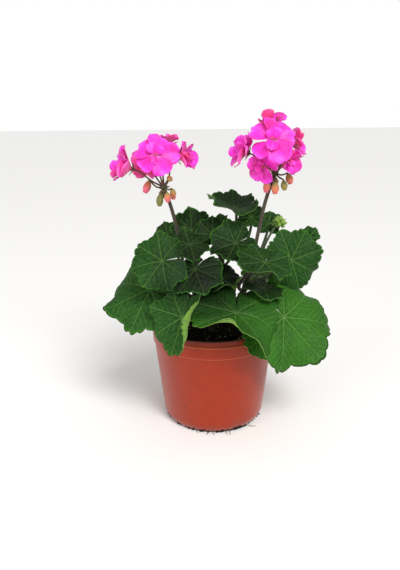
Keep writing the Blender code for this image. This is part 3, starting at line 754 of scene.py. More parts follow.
PLANT_FOOT = Vector((0.0, 0.0, 0.0))
for name in ("stem", "shoot_left", "shoot_right", "shoot_back"):
    rings, _ = read_rings(name, near=PLANT_FOOT)
    line = flow_line(spine(rings), 5)
    run = np.concatenate([[0.0], np.cumsum(np.linalg.norm(np.diff(line[:, :3], axis=0), axis=1))])
    # A node every 11 mm, about a fifth thicker than the stem.
    knots = np.abs(np.mod(run / (11.0 * MM) + 0.3, 1.0) - 0.5) * 2.0
    line[:, 3] *= 1.0 + 0.22 * np.exp(-(((knots - 1.0) / 0.22) ** 2))
    if name != "stem":
        line = sunk(line, 2.0 * MM)
    tip = line[-1].copy()
    tip[3] *= 0.5
    tip[:3] += (line[-1, :3] - line[-2, :3]) * 0.6
    line = np.vstack([line, tip])
    parts = Parts()
    parts.add(*limb(line, 20, ribs=5, rib=0.03), 0, 0.0)
    made = parts.piece(f"geranium_{name}", [stem_bark])
    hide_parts(name)

# ---------------------------------------------------------------- leaves
# Kidney-shaped, seven-lobed blades with scalloped edges, soft and slightly felted, puckered
# between veins that fan from the stalk. Young leaves are lighter, and shaded leaves are painted darker.


# Main veins fan from the stalk at equal angles, one of them along the slit. Side veins leave them
# every 6 mm, at about 40 degrees.
MAIN_VEINS, SIDE_VEIN_LEAN, SIDE_VEIN_GAP = 8, 1.2, 6.0 * MM
FAN = 2.0 * math.pi / MAIN_VEINS


def leaf_material(name, dark, middle, light, vein, edge, relief, vein_share, felt):
    """Leaf skin. The flat UV is in metres from the stalk, and mark is the leaf's painted light and age.
    """
    made, tree, shader = new_material(name)
    uv = add_node(tree, "ShaderNodeUVMap", uv_map="flat").outputs[0]
    place = add_node(tree, "ShaderNodeTexCoord").outputs["Object"]
    wander = add_node(tree, "ShaderNodeTexNoise", {"Vector": place, "Scale": 130.0, "Detail": 2.0})
    drift = add_node(
        tree, "ShaderNodeMapRange",
        {"Value": wander.outputs[0], "To Min": -0.8 * MM, "To Max": 0.8 * MM},
    ).outputs[0]
    axes = add_node(tree, "ShaderNodeSeparateXYZ", {0: uv})
    reach = add_node(tree, "ShaderNodeVectorMath", {0: uv}, operation="LENGTH").outputs["Value"]
    turn = add_node(
        tree, "ShaderNodeMath", {0: axes.outputs[1], 1: axes.outputs[0]}, operation="ARCTAN2",
    )
    fold = add_node(
        tree, "ShaderNodeMath", {0: turn.outputs[0], 1: FAN / 2.0}, operation="PINGPONG",
    ).outputs[0]
    sine = add_node(tree, "ShaderNodeMath", {0: fold}, operation="SINE").outputs[0]
    cosine = add_node(tree, "ShaderNodeMath", {0: fold}, operation="COSINE").outputs[0]
    across = add_node(tree, "ShaderNodeMath", {0: reach, 1: sine}, operation="MULTIPLY").outputs[0]
    along = add_node(tree, "ShaderNodeMath", {0: reach, 1: cosine}, operation="MULTIPLY").outputs[0]
    # A main vein is 1.1 mm wide at the stalk and 0.4 mm at the edge.
    width = add_node(
        tree, "ShaderNodeMapRange", {"Value": reach, "From Max": 0.042, "To Min": 0.75 * MM,
                                     "To Max": 0.28 * MM},
    ).outputs[0]
    ratio = add_node(tree, "ShaderNodeMath", {0: across, 1: width}, operation="DIVIDE").outputs[0]
    main = add_node(
        tree, "ShaderNodeMapRange", {"Value": ratio, "From Min": 0.3, "From Max": 1.25,
                                     "To Min": 1.0, "To Max": 0.0},
        interpolation_type="SMOOTHSTEP",
    ).outputs[0]
    lean = add_node(
        tree, "ShaderNodeMath", {0: across, 1: -SIDE_VEIN_LEAN, 2: along},
        operation="MULTIPLY_ADD",
    ).outputs[0]
    bent = add_node(tree, "ShaderNodeMath", {0: lean, 1: drift}, operation="ADD").outputs[0]
    gap = add_node(
        tree, "ShaderNodeMath", {0: bent, 1: SIDE_VEIN_GAP / 2.0}, operation="PINGPONG",
    ).outputs[0]
    side = add_node(
        tree, "ShaderNodeMapRange", {"Value": gap, "From Min": 0.12 * MM, "From Max": 0.55 * MM,
                                     "To Min": 0.75, "To Max": 0.0},
        interpolation_type="SMOOTHSTEP",
    ).outputs[0]
    # The finest net is drawn at 2 mm, coarser than it is, so that it shows.
    net = add_node(
        tree, "ShaderNodeTexVoronoi", {"Vector": uv, "Scale": 480.0}, feature="DISTANCE_TO_EDGE",
    ).outputs[0]
    fine = add_node(
        tree, "ShaderNodeMapRange", {"Value": net, "From Min": 0.02, "From Max": 0.16,
                                     "To Min": 0.32, "To Max": 0.0},
    ).outputs[0]
    veins = add_node(tree, "ShaderNodeMath", {0: main, 1: side}, operation="MAXIMUM").outputs[0]
    veins = add_node(tree, "ShaderNodeMath", {0: veins, 1: fine}, operation="MAXIMUM").outputs[0]
    mark = add_node(tree, "ShaderNodeAttribute", attribute_name="mark").outputs["Fac"]
    light_and_age = add_node(tree, "ShaderNodeMath", {0: mark}, operation="FRACT").outputs[0]
    rim = add_node(tree, "ShaderNodeMath", {0: mark, 1: 1.0}, operation="GREATER_THAN").outputs[0]
    patch = add_node(tree, "ShaderNodeTexNoise", {"Vector": place, "Scale": 45.0, "Detail": 3.0})
    uneven = add_node(
        tree, "ShaderNodeMapRange", {"Value": patch.outputs[0], "To Min": -0.22, "To Max": 0.22},
    ).outputs[0]
    lit_and_aged = add_node(tree, "ShaderNodeMath", {0: light_and_age, 1: uneven}, operation="ADD").outputs[0]
    ramp = add_node(tree, "ShaderNodeValToRGB", {"Fac": lit_and_aged})
    stops = ramp.color_ramp.elements
    stops[0].color, stops[1].color = linear(dark), linear(light)
    stops.new(0.5).color = linear(middle)
    # Veins hardly show on the oldest, most shaded leaves.
    shown = add_node(
        tree, "ShaderNodeMapRange", {"Value": light_and_age, "From Min": 0.05, "From Max": 0.75,
                                     "To Min": vein_share * 0.25, "To Max": vein_share},
    ).outputs[0]
    vein_amount = add_node(
        tree, "ShaderNodeMath", {0: veins, 1: shown}, operation="MULTIPLY",
    ).outputs[0]
    veined = add_node(
        tree, "ShaderNodeMix", {0: vein_amount, 6: ramp.outputs[0], 7: linear(vein)},
        data_type="RGBA",
    ).outputs[2]
    # The very edge is painted paler as a highlight, most of all on the leaves painted lightest.
    rim_lit_share = add_node(tree, "ShaderNodeMath", {0: rim, 1: light_and_age}, operation="MULTIPLY").outputs[0]
    rim_highlight = add_node(
        tree, "ShaderNodeMath", {0: rim_lit_share, 1: 0.30}, operation="MULTIPLY",
    ).outputs[0]
    edged = add_node(
        tree, "ShaderNodeMix", {0: rim_highlight, 6: veined, 7: linear(edge)}, data_type="RGBA",
    ).outputs[2]
    tree.links.new(edged, shader.inputs["Base Color"])
    shader.inputs["Roughness"].default_value = 0.50
    shader.inputs["Specular IOR Level"].default_value = 0.14
    shader.inputs["Sheen Weight"].default_value = felt
    shader.inputs["Sheen Roughness"].default_value = 0.5
    felted = add_node(tree, "ShaderNodeTexNoise", {"Vector": place, "Scale": 1500.0, "Detail": 2.0})
    height = add_node(
        tree, "ShaderNodeMath", {0: veins, 1: relief, 2: felted.outputs[0]},
        operation="MULTIPLY_ADD",
    ).outputs[0]
    bump = add_node(
        tree, "ShaderNodeBump", {"Height": height, "Strength": 0.55, "Distance": 0.22 * MM},
    )
    tree.links.new(bump.outputs[0], shader.inputs["Normal"])
    return made


# Deep green above, with sunken paler veins, and lighter, felted and ribbed below.
leaf_upper = leaf_material(
    "felted_leaf_upper_skin", "#010702", "#0d3e08", "#307404", "#6f9a4a", "#6f9a3c",
    relief=-2.8, vein_share=0.55, felt=0.0,
)
leaf_under = leaf_material(
    "felted_leaf_underside", "#122a12", "#3c6a24", "#8ab83c", "#8fb060", "#86a850",
    relief=2.6, vein_share=0.55, felt=0.08,
)
# A blade's thickness at the stalk, and the mean radius above which it has the finer net.
LEAF_SKIN, LARGE_BLADE = 0.55 * MM, 22.0 * MM
# How light a leaf is painted, for its light and age, when it isn't listed below.
USUAL_LIGHT_AND_AGE = 0.34
# How light each leaf is, from 0 in deep shade to 1 on the sunny front.
LEAF_LIGHT_AND_AGE = {
    "leaf_front_saddle": 0.62, "leaf_right_large": 0.70, "leaf_left_lower": 0.50,
    "leaf_left_upper": 0.38, "leaf_over_rim_left": 0.52, "leaf_right_facing": 0.40,
    "leaf_centre_right": 0.29, "leaf_centre_upright": 0.20, "leaf_top": 0.22,
    "leaf_top_right": 0.34, "leaf_behind_truss": 0.40, "leaf_right_tip": 0.46,
    "leaf_centre_fan": 0.14, "leaf_centre_left": 0.24, "leaf_centre_low": 0.26,
    "leaf_centre_folded": 0.36, "leaf_left_small": 0.20, "leaf_centre_back": 0.16,
    "leaf_right_under": 0.20, "leaf_inner": 0.16, "leaf_left_shaded": 0.16,
}
# Leaves whose blades fill the middle of the plant are a little wider.
LEAF_SPREAD = {
    "leaf_centre_fan": 1.14, "leaf_centre_left": 1.16, "leaf_centre_low": 1.06,
    "leaf_centre_back": 1.16, "leaf_left_shaded": 1.22, "leaf_inner": 1.25,
    "leaf_right_under": 1.12, "leaf_centre_upright": 1.05, "leaf_left_small": 1.10,
    "leaf_right_large": 1.04,
}
# The place deep in the plant round which the blades are painted darkest, as painted shade.
SHADE_HEART = np.array([-12.0, -30.0, 148.0]) * MM


def periodic(ring, at):
    """A smooth closed line through a ring's points, read at fractional places."""
    count = len(ring)
    low = np.floor(at).astype(int)
    t = (at - low)[:, None]
    a, b, c, d = (ring[(low + k) % count] for k in (-1, 0, 1, 2))
    return 0.5 * (2 * b + (c - a) * t + (2 * a - 5 * b + 4 * c - d) * t * t
                  + (3 * b - a - 3 * c + d) * t**3)


def through(knots, shares):
    """For each knot, its weight in the smooth curve through all of them, at the given shares."""
    weights = []
    for here, knot in enumerate(knots):
        value = np.ones_like(shares)
        for other, place in enumerate(knots):
            if other != here:
                value = value * (shares - place) / (knot - place)
        weights.append(value)
    return weights


def eased_rings(rings, levels, spread):
    """The rings of a CAD blade's upper skin, made rounder and wider, and which point is the slit."""
    hub, count = rings[0][0], len(rings[1])
    tops = [ring.copy() for ring in rings[1 : 1 + levels]]
    notch = int(np.argmin(np.linalg.norm(tops[-1] - hub, axis=1)))
    for level, ring in enumerate(tops):
        ahead = (ring[(notch + 1) % count] + ring[notch - 1]) / 2.0 - hub
        ring[notch] = hub + ahead * 1.05
        length = np.linalg.norm(ring - hub, axis=1)
        eased = length * 0.5 + (np.roll(length, 1) + np.roll(length, -1)) * 0.25
        tops[level] = hub + (ring - hub) * (eased / length * 1.04 * spread)[:, None]
    return tops, notch


def puckers(angle, reach, size, dice):
    """How far a blade stands off its smooth surface: quilted between veins, wavy at the edge."""
    folded = np.abs(np.mod(angle + FAN / 2.0, FAN) - FAN / 2.0)
    across = reach * size * np.sin(folded)
    along = reach * size * np.cos(folded)
    quilt = 1.0 - np.exp(-((across / (1.5 * MM)) ** 2))
    half_gap = SIDE_VEIN_GAP / 2.0
    off_vein = np.abs(np.mod(along - SIDE_VEIN_LEAN * across, SIDE_VEIN_GAP) - half_gap) - half_gap
    ribs = np.exp(-((off_vein / (0.9 * MM)) ** 2))
    lift = (1.15 * quilt - 0.50 * quilt * ribs) * MM * np.clip(size / (40.0 * MM), 0.35, 1.0)
    lift = lift * (1.0 - 0.45 * reach**3)
    wave = np.sin(5.0 * angle + dice.uniform(0, 6)) + 0.6 * np.sin(9.0 * angle + dice.uniform(0, 6))
    return lift + wave * reach**4 * 0.075 * size


def blade_faces(columns, rows):
    """Faces of the upper skin, and of the lower skin with the edges. Each skin starts at its hub."""
    lower_hub = columns * rows + 1
    index = 1 + np.arange(columns * rows).reshape(columns, rows)
    under = index + lower_hub
    upper, lower = [], []
    for k in range(columns - 1):
        upper.append((0, int(index[k, 0]), int(index[k + 1, 0])))
        lower.append((lower_hub, int(under[k + 1, 0]), int(under[k, 0])))
    quads = np.stack(
        [index[:-1, :-1], index[:-1, 1:], index[1:, 1:], index[1:, :-1]], axis=-1
    ).reshape(-1, 4)
    upper.extend(tuple(int(v) for v in quad) for quad in quads)
    lower.extend(tuple(int(v) + lower_hub for v in quad[::-1]) for quad in quads)
    for k in range(columns - 1):
        lower.append((int(index[k, -1]), int(under[k, -1]), int(under[k + 1, -1]),
                      int(index[k + 1, -1])))
    for k in (0, columns - 1):
        line_top = [0, *[int(v) for v in index[k]]]
        line_low = [lower_hub, *[int(v) for v in under[k]]]
        for j in range(len(line_top) - 1):
            lower.append((line_top[j], line_top[j + 1], line_low[j + 1], line_low[j]))
    return upper, lower


def grow_blade(parts, rings, normal, light_and_age, spread, seed):
    """A thin scalloped blade over the CAD blade's upper skin.

    Returns the hub, and which of the CAD solid's rings is the stalk's first.
    """
    dice = random.Random(seed)
    hub = rings[0][0]
    count = len(rings[1])
    same = 1
    while len(rings[1 + same]) == count:
        same += 1
    levels = (same - 1) // 2
    tops, notch = eased_rings(rings, levels, spread)
    knots = (0.0, 0.42, 0.76, 1.0) if levels == 3 else (0.0, 0.55, 1.0)
    size = float(np.linalg.norm(tops[-1] - hub, axis=1).mean())
    scallops, rows = (28, 16) if size > LARGE_BLADE else (21, 12)
    u = np.linspace(0.0, 1.0, scallops * 8 + 1)
    shares = np.linspace(0.0, 1.0, rows + 1)[1:] ** 0.85
    grid_u, grid_s = np.meshgrid(u, shares, indexing="ij")
    # The slit from the stalk to the back edge is narrow.
    slit = 0.03 + 0.05 * np.sin(np.pi * np.clip(grid_s, 0.0, 1.0) ** 0.8) + 0.05 * grid_s
    at = notch + slit + grid_u * (count - 2.0 * slit)
    angle = (at - notch) / count * 2.0 * math.pi - math.pi
    # Uneven scallops, lobes at the main veins and round corners at the slit make the edge.
    phase = dice.uniform(-0.3, 0.3)
    drift = 0.25 * np.sin(3.0 * angle + dice.uniform(0, 6)) + 0.15 * np.sin(7.0 * angle)
    scallop = np.abs(np.sin((grid_u * scallops + drift + phase) * math.pi)) ** 0.55
    depth = 0.085 * (0.75 + 0.35 * np.sin(5.0 * angle + dice.uniform(0, 6)))
    lobing = 0.060 * np.cos(MAIN_VEINS * angle)
    lobing = lobing + 0.012 * np.sin(11.0 * angle + dice.uniform(0, 6))
    corner = np.exp(-((grid_u / 0.030) ** 2)) + np.exp(-(((1.0 - grid_u) / 0.030) ** 2))
    edge = (1.0 + lobing - depth * (1.0 - scallop)) * (1.0 - 0.34 * corner)
    reach = grid_s * (1.0 + (edge - 1.0) * grid_s**2)
    # A smooth surface through the CAD rings gives the blade's folds.
    lines = [periodic(ring, at.ravel()).reshape(*at.shape, 3) for ring in tops]
    weights = through(knots, reach)
    points = hub[None, None, :] * weights[0][..., None]
    for line, weight in zip(lines, weights[1:]):
        points = points + line * weight[..., None]
    facing = np.cross(np.gradient(points, axis=1), np.gradient(points, axis=0))
    facing /= np.linalg.norm(facing, axis=2)[..., None] + 1e-12
    top = points + facing * puckers(angle, reach, size, dice)[..., None]
    bottom = top - facing * (LEAF_SKIN * (1.0 - 0.35 * reach**3))[..., None]
    verts = np.vstack([hub, top.reshape(-1, 3), hub - normal * LEAF_SKIN, bottom.reshape(-1, 3)])
    flat_radius = reach * size
    flat = np.stack([flat_radius * np.cos(angle), flat_radius * np.sin(angle)], axis=2)
    uvs = np.vstack([[0, 0], flat.reshape(-1, 2), [0, 0], flat.reshape(-1, 2)])
    # A point's mark is its painted lightness, darkened by painted shade deep in the plant, and 1 more on
    # the very edge.
    rims = np.concatenate([[0.0], np.where(grid_s > 0.999, 1.0, 0.0).ravel()])
    away = [np.linalg.norm(p - SHADE_HEART, axis=-1) for p in (hub, top)]
    shaded_ages = [light_and_age * (0.12 + 0.88 * np.clip((d - 18.0 * MM) / (38.0 * MM), 0.0, 1.0)) for d in away]
    lit_and_aged = np.concatenate([[shaded_ages[0]], shaded_ages[1].ravel()])
    marks = np.concatenate([lit_and_aged + rims, np.minimum(lit_and_aged + 0.25, 0.97) + rims])
    upper, lower = blade_faces(*top.shape[:2])
    first = len(parts.slots)
    parts.add(verts, upper + lower, uvs.tolist(), 0, marks)
    for here in range(first + len(upper), len(parts.slots)):
        parts.slots[here] = 1
    return hub, 1 + same


leaf_names = sorted(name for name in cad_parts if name.startswith("leaf_"))
for seed, name in enumerate(leaf_names):
    rings, normal = read_rings(name)
    parts = Parts()
    # How light the leaf is painted, for where light falls on it and for its age.
    light_and_age = LEAF_LIGHT_AND_AGE.get(name, USUAL_LIGHT_AND_AGE)
    hub, after = grow_blade(parts, rings, normal, light_and_age, LEAF_SPREAD.get(name, 1.0), seed)
    line = spine(rings[after:])[::-1]
    towards = unit(line[1, :3] - line[0, :3])
    rooted = np.array([*(line[0, :3] - towards * 1.6 * MM), line[0, 3] * 1.15])
    end = np.array([*(hub - normal * 0.4 * MM), line[-1, 3] * 1.35])
    line = flow_line(np.vstack([rooted, line, end]), 4)
    parts.add(*limb(line, 12, ribs=2, rib=0.06), 2, 0.0)
    made = parts.piece(f"geranium_{name}", [leaf_upper, leaf_under, leaf_stalk_skin])
    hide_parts(name)

# ---------------------------------------------------------------- flower stalks
# Two long brown-green stalks, each ending in a knob that its florets and buds spring from, with
# a frill of small pointed bracts below them.
BRACTS = 9
# Ridged brown-green skins: redder on the florets' own stalks, and greener on bracts and sepals.
flower_stalk_skin = stalk_material("flower_stalk_skin", "#1d160a", "#484028", "#301c12")
pedicel_skin = stalk_material("floret_stalk_skin", "#3a2412", "#6b5430", "#4a2014")
bract_green = stalk_material("bract_skin", "#3c4a1c", "#747c3c", "#7a4830")


def pointed_scale(parts, foot, way, out, length, width, slot, mark):
    """A small closed boat-shaped scale, as a bract or a sepal."""
    way = unit(np.asarray(way, float))
    out = np.asarray(out, float)
    out = out - way * out.dot(way)
    out = out / (np.linalg.norm(out) + 1e-9)
    side = np.cross(way, out)
    verts, uvs = [], []
    rows = 6
    for row in range(rows + 1):
        t = row / rows
        half = width * 0.5 * math.sin(math.pi * (0.12 + 0.88 * t) ** 0.8) + 0.03 * MM
        bend = out * length * 0.35 * t * t
        for across in (-1.0, 0.0, 1.0):
            for layer in (0.0, 1.0):
                dip = 0.25 * width * abs(across)
                verts.append(
                    np.asarray(foot) + way * length * t + bend + side * half * across
                    + out * (dip * 0.6 + layer * 0.25 * MM)
                )
                uvs.append((0.5 + across * 0.1, length * t))
    faces = []
    for row in range(rows):
        base = row * 6
        for a in (0, 2):
            faces.append((base + a, base + a + 2, base + a + 8, base + a + 6))
            faces.append((base + a + 1, base + a + 7, base + a + 9, base + a + 3))
        faces.append((base, base + 6, base + 7, base + 1))
        faces.append((base + 4, base + 5, base + 11, base + 10))
    faces.append((0, 1, 3, 5, 4, 2))
    top = rows * 6
    faces.append((top, top + 2, top + 4, top + 5, top + 3, top + 1))
    parts.add(verts, faces, uvs, slot, mark)


cores = {}
for side in ("left", "right"):
    name = f"{side}_truss_stalk"
    rings, _ = read_rings(name, near=PLANT_FOOT)
    rows = spine(rings)
    knob = rows[-4]
    cores[side] = knob[:3].copy()
    parts = Parts()
    parts.add(*limb(flow_line(sunk(rows, 1.5 * MM), 5), 16, ribs=5, rib=0.03), 0, 0.0)
    up = unit(rows[-4, :3] - rows[-9, :3])
    dice = random.Random(side)
    for step in range(BRACTS):
        turn = 2.0 * math.pi * (step + dice.uniform(-0.3, 0.3)) / BRACTS
        out = np.array([math.cos(turn), math.sin(turn), 0.0])
        out = out - up * out.dot(up)
        foot = knob[:3] - up * 2.0 * MM + out * 1.6 * MM
        pointed_scale(parts, foot, out - up * dice.uniform(0.1, 0.7), up,
                      dice.uniform(3.5, 5.0) * MM, 2.0 * MM, 1, 0.0)
    made = parts.piece(f"geranium_{side}_flower_stalk", [flower_stalk_skin, bract_green])
    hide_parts(name)

# ---------------------------------------------------------------- florets
# Semi-double florets: five broad ruffled petals and a few smaller inner ones, magenta pink with a
# pale throat above and salmon pink below, on thin bent stalks with a green calyx.
PETALS, STAMENS = 5, 6
# Soft petal skin: satin with a faint sheen, finely veined, and deeper in patches that are partly the
# petal's own tone and partly painted shade.
petal_upper, tree, shader = new_material("petal_upper_face")
petal_under, under_tree, under_shader = new_material("petal_underside")
for tree, shader, margin, flesh, vein_and_shade_pink, throat in (
    (tree, shader, "#fa54ec", "#f01ec8", "#d80688", "#fca2ee"),
    (under_tree, under_shader, "#fa68cc", "#f03ea2", "#e0266e", "#fca0c4"),
):
    uv = add_node(tree, "ShaderNodeUVMap", uv_map="flat").outputs[0]
    place = add_node(tree, "ShaderNodeTexCoord").outputs["Object"]
    axes = add_node(tree, "ShaderNodeSeparateXYZ", {0: uv})
    # Veins run from the claw to the edge, two to three millimetres apart where the petal is widest.
    wander = add_node(tree, "ShaderNodeTexNoise", {"Vector": place, "Scale": 220.0, "Detail": 2.0})
    swayed = add_node(
        tree, "ShaderNodeMath", {0: wander.outputs[0], 1: 0.10, 2: axes.outputs[1]},
        operation="MULTIPLY_ADD",
    ).outputs[0]
    gap = add_node(tree, "ShaderNodeMath", {0: swayed, 1: 0.065}, operation="PINGPONG").outputs[0]
    lines = add_node(
        tree, "ShaderNodeMapRange", {"Value": gap, "From Max": 0.035, "To Min": 0.8, "To Max": 0.0},
    ).outputs[0]
    fade = add_node(
        tree, "ShaderNodeMapRange", {"Value": axes.outputs[0], "From Min": 0.30, "From Max": 0.98,
                                     "To Min": 1.0, "To Max": 0.25},
    ).outputs[0]
    vein = add_node(tree, "ShaderNodeMath", {0: lines, 1: fade}, operation="MULTIPLY").outputs[0]
    deep_patch_noise = add_node(tree, "ShaderNodeTexNoise", {"Vector": place, "Scale": 75.0, "Detail": 2.0})
    ramp = add_node(tree, "ShaderNodeValToRGB", {"Fac": axes.outputs[0]})
    stops = ramp.color_ramp.elements
    stops[0].position, stops[0].color = 0.05, linear(throat)
    stops[1].position, stops[1].color = 1.0, linear(margin)
    stops.new(0.24).color = linear(flesh)
    stops.new(0.72).color = linear(flesh)
    # Random deeper patches: partly the petal's own tone, partly painted shade.
    deep_patches_and_shade = add_node(
        tree, "ShaderNodeMapRange", {"Value": deep_patch_noise.outputs[0], "From Min": 0.47,
                                     "From Max": 0.68, "To Max": 0.85},
    ).outputs[0]
    mixed = add_node(
        tree, "ShaderNodeMix", {0: deep_patches_and_shade, 6: ramp.outputs[0], 7: linear(vein_and_shade_pink)},
        data_type="RGBA",
    ).outputs[2]
    veined = add_node(
        tree, "ShaderNodeMix", {0: vein, 6: mixed, 7: linear(vein_and_shade_pink)}, data_type="RGBA",
    ).outputs[2]
    tree.links.new(veined, shader.inputs["Base Color"])
    shader.inputs["Roughness"].default_value = 0.48
    shader.inputs["Sheen Weight"].default_value = 0.15
    bump = add_node(
        tree, "ShaderNodeBump", {"Height": lines, "Strength": 0.35, "Distance": 0.15 * MM},
    )
    tree.links.new(bump.outputs[0], shader.inputs["Normal"])
# Dusty orange pollen, quite matt.
anther, tree, shader = new_material("anther_pollen")
shader.inputs["Base Color"].default_value = linear("#c8552e")
shader.inputs["Roughness"].default_value = 0.8


def petal(parts, base, middle, tip, across, half, twist, dice, wrap=0.0):
    """One broad petal on a curved midline, with a narrow claw and a ruffled round end."""
    rows, columns = 14, 12
    shares = np.linspace(0.0, 1.0, rows + 1)
    weights = through((0.0, 0.5, 1.0), shares)
    line = sum(np.outer(w, p) for w, p in zip(weights, (base, middle, tip)))
    along = np.gradient(line, axis=0)
    along /= np.linalg.norm(along, axis=1)[:, None]
    length = float(np.linalg.norm(tip - base))
    verts, low, uvs = [], [], []
    phase, waves = dice.uniform(0, 6), dice.choice((3.0, 4.0, 5.0))
    cup = dice.uniform(-0.25, 0.45) + wrap
    for row, share in enumerate(shares):
        swell = min(1.0, share / 0.60)
        width = half * (0.13 + 0.87 * swell * swell * (3.0 - 2.0 * swell))
        if share > 0.60:
            width = half * math.sqrt(max(0.0, 1.0 - ((share - 0.60) / 0.43) ** 2))
        side = unit(across - along[row] * across.dot(along[row]))
        face = np.cross(along[row], side)
        tilted = side * math.cos(twist) + face * math.sin(twist)
        face = np.cross(along[row], tilted)
        for column in range(columns + 1):
            t = 2.0 * column / columns - 1.0
            ruffle = math.sin(waves * t + phase) * share**3 * 0.075 * length
            ruffle += math.sin(9.0 * t + 2.0 * phase) * share**5 * 0.030 * length
            notch = -0.05 * length * math.exp(-((t / 0.16) ** 2)) * share**8
            spot = line[row] + tilted * width * t + along[row] * notch
            spot = spot + face * (cup * width * t * t + ruffle)
            verts.append(spot)
            low.append(spot - face * 0.28 * MM)
            uvs.append((share, t * 0.5 + 0.5))
    top = len(verts)
    wide = columns + 1
    upper, lower = [], []
    for row in range(rows):
        for column in range(columns):
            a = row * wide + column
            quad = (a, a + wide, a + wide + 1, a + 1)
            upper.append(quad)
            lower.append(tuple(v + top for v in reversed(quad)))
    border = list(range(wide))
    border += [r * wide + columns for r in range(1, rows + 1)]
    border += [rows * wide + c for c in reversed(range(columns))]
    border += [r * wide for r in reversed(range(1, rows))]
    for here, there in zip(border, border[1:] + border[:1]):
        lower.append((here, there, there + top, here + top))
    first = len(parts.slots)
    parts.add(verts + low, upper + lower, uvs + uvs, 0, 0.0)
    for here in range(first + len(upper), len(parts.slots)):
        parts.slots[here] = 1


def grain(parts, middle, radius, slot):
    """A small egg, for an anther."""
    line = []
    for step in range(6):
        turn = math.pi * step / 5
        line.append([middle[0], middle[1], middle[2] - math.cos(turn) * radius,
                     max(radius * math.sin(turn), radius * 0.15)])
    parts.add(*limb(np.array(line), 8), slot, 0.0)


# How far the petals of some florets reach, where 1 is as far as the others' do.
FLORET_REACH = {"right_floret_top": 0.64, "right_floret_right": 0.92, "left_floret_side": 1.08}

for seed, name in enumerate(sorted(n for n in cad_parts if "floret" in n)):
    dice = random.Random(1000 + seed)
    rings, face = read_rings(name)
    hub, inner, outer = rings[0][0], rings[1], rings[2]
    count = len(inner)
    reach = np.linalg.norm(outer - hub, axis=1)
    first = max(range(4), key=lambda k: reach[k::4].sum())
    length = reach[first::4].mean()
    # A half-open floret, seen from its side, is a funnel of broad petals that wrap round it.
    funnel = float(((outer[first::4] - hub) @ face).mean() / length)
    broad = 0.07 + 0.13 * min(max((funnel - 0.15) / 0.45, 0.0), 1.0)
    spans = FLORET_REACH.get(name, 1.0)
    parts = Parts()
    for step in range(PETALS):
        k = first + 4 * step
        across = unit(outer[(k + 1) % count] - outer[k - 1])
        lift = face * dice.uniform(-0.8, 1.6) * MM
        grown = dice.uniform(0.88, 1.08) * spans
        petal(parts, hub + face * 0.2 * MM, hub + (inner[k] - hub) * 1.04 + lift,
              hub + (outer[k] - hub) * grown + lift * 1.5, across,
              length * (dice.uniform(0.35, 0.46) + broad), 0.22 + dice.uniform(-0.16, 0.16), dice,
              0.6 * funnel)
    for step in (0, 2, 3):
        k = first + 4 * step + 2
        out = unit((outer[(k + 2) % count] + outer[(k - 2) % count]) / 2.0 - hub)
        across = unit(np.cross(face, out) + out * dice.uniform(-0.3, 0.3))
        rise = dice.uniform(0.5, 1.25)
        small = length * dice.uniform(0.46, 0.74)
        middle = hub + (out * 0.35 + face * 0.36 * rise) * small
        end = hub + (out * 0.80 + face * 0.55 * rise) * small
        petal(parts, hub + face * 0.5 * MM, middle, end, across, small * dice.uniform(0.26, 0.40),
              dice.uniform(-0.6, 0.6), dice)
    for step in range(STAMENS):
        turn = 2.0 * math.pi * step / STAMENS + dice.uniform(-0.3, 0.3)
        side = outer[first] - hub
        side = unit(side - face * side.dot(face))
        out = side * math.cos(turn) + np.cross(face, side) * math.sin(turn)
        end = hub + face * dice.uniform(3.2, 4.6) * MM + out * 1.1 * MM
        thread = np.array([[*hub, 0.2 * MM], [*((hub + end) / 2 + out * 0.2 * MM), 0.17 * MM],
                           [*end, 0.15 * MM]])
        parts.add(*limb(thread, 6), 0, 0.0)
        grain(parts, end, 0.45 * MM, 4)
    same = 1
    while len(rings[1 + same]) == count:
        same += 1
    rows = sunk(spine(rings[1 + same :])[::-1], MM)
    end = np.array([*(hub - face * 0.6 * MM), 1.7 * MM])
    parts.add(*limb(flow_line(np.vstack([rows, end]), 4), 10), 2, 0.0)
    for step in range(PETALS):
        k = first + 4 * step + 2
        out = unit(inner[k % count] - hub)
        pointed_scale(parts, hub - face * 1.6 * MM, out * 0.8 + face * 0.1, -face,
                      6.5 * MM, 2.6 * MM, 3, 0.0)
    made = parts.piece(
        f"geranium_{name}", [petal_upper, petal_under, pedicel_skin, bract_green, anther]
    )
    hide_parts(name)

# ---------------------------------------------------------------- buds
# Ribbed green buds that hang on bent stalks, and open ones that show salmon or pink petal tips
# between their sepals.
# Satin sepal skin that turns from green through tan to pink as the bud ripens towards its tip.
bud_skin, tree, shader = new_material("ribbed_bud_skin")
mark = add_node(tree, "ShaderNodeAttribute", attribute_name="mark").outputs["Fac"]
place = add_node(tree, "ShaderNodeTexCoord").outputs["Object"]
mottle = add_node(tree, "ShaderNodeTexNoise", {"Vector": place, "Scale": 300.0, "Detail": 3.0})
uneven = add_node(
    tree, "ShaderNodeMapRange", {"Value": mottle.outputs[0], "To Min": -0.14, "To Max": 0.14},
).outputs[0]
ripe = add_node(tree, "ShaderNodeMath", {0: mark, 1: uneven}, operation="ADD").outputs[0]
ramp = add_node(tree, "ShaderNodeValToRGB", {"Fac": ripe})
stops = ramp.color_ramp.elements
stops[0].color, stops[1].color = linear("#59652a"), linear("#e8607c")
stops.new(0.35).color = linear("#96823c")
stops.new(0.62).color = linear("#d0714e")
tree.links.new(ramp.outputs[0], shader.inputs["Base Color"])
shader.inputs["Roughness"].default_value = 0.5
shader.inputs["Sheen Weight"].default_value = 0.2

# Steps of the smooth line between two CAD rings.
STEPS = 5
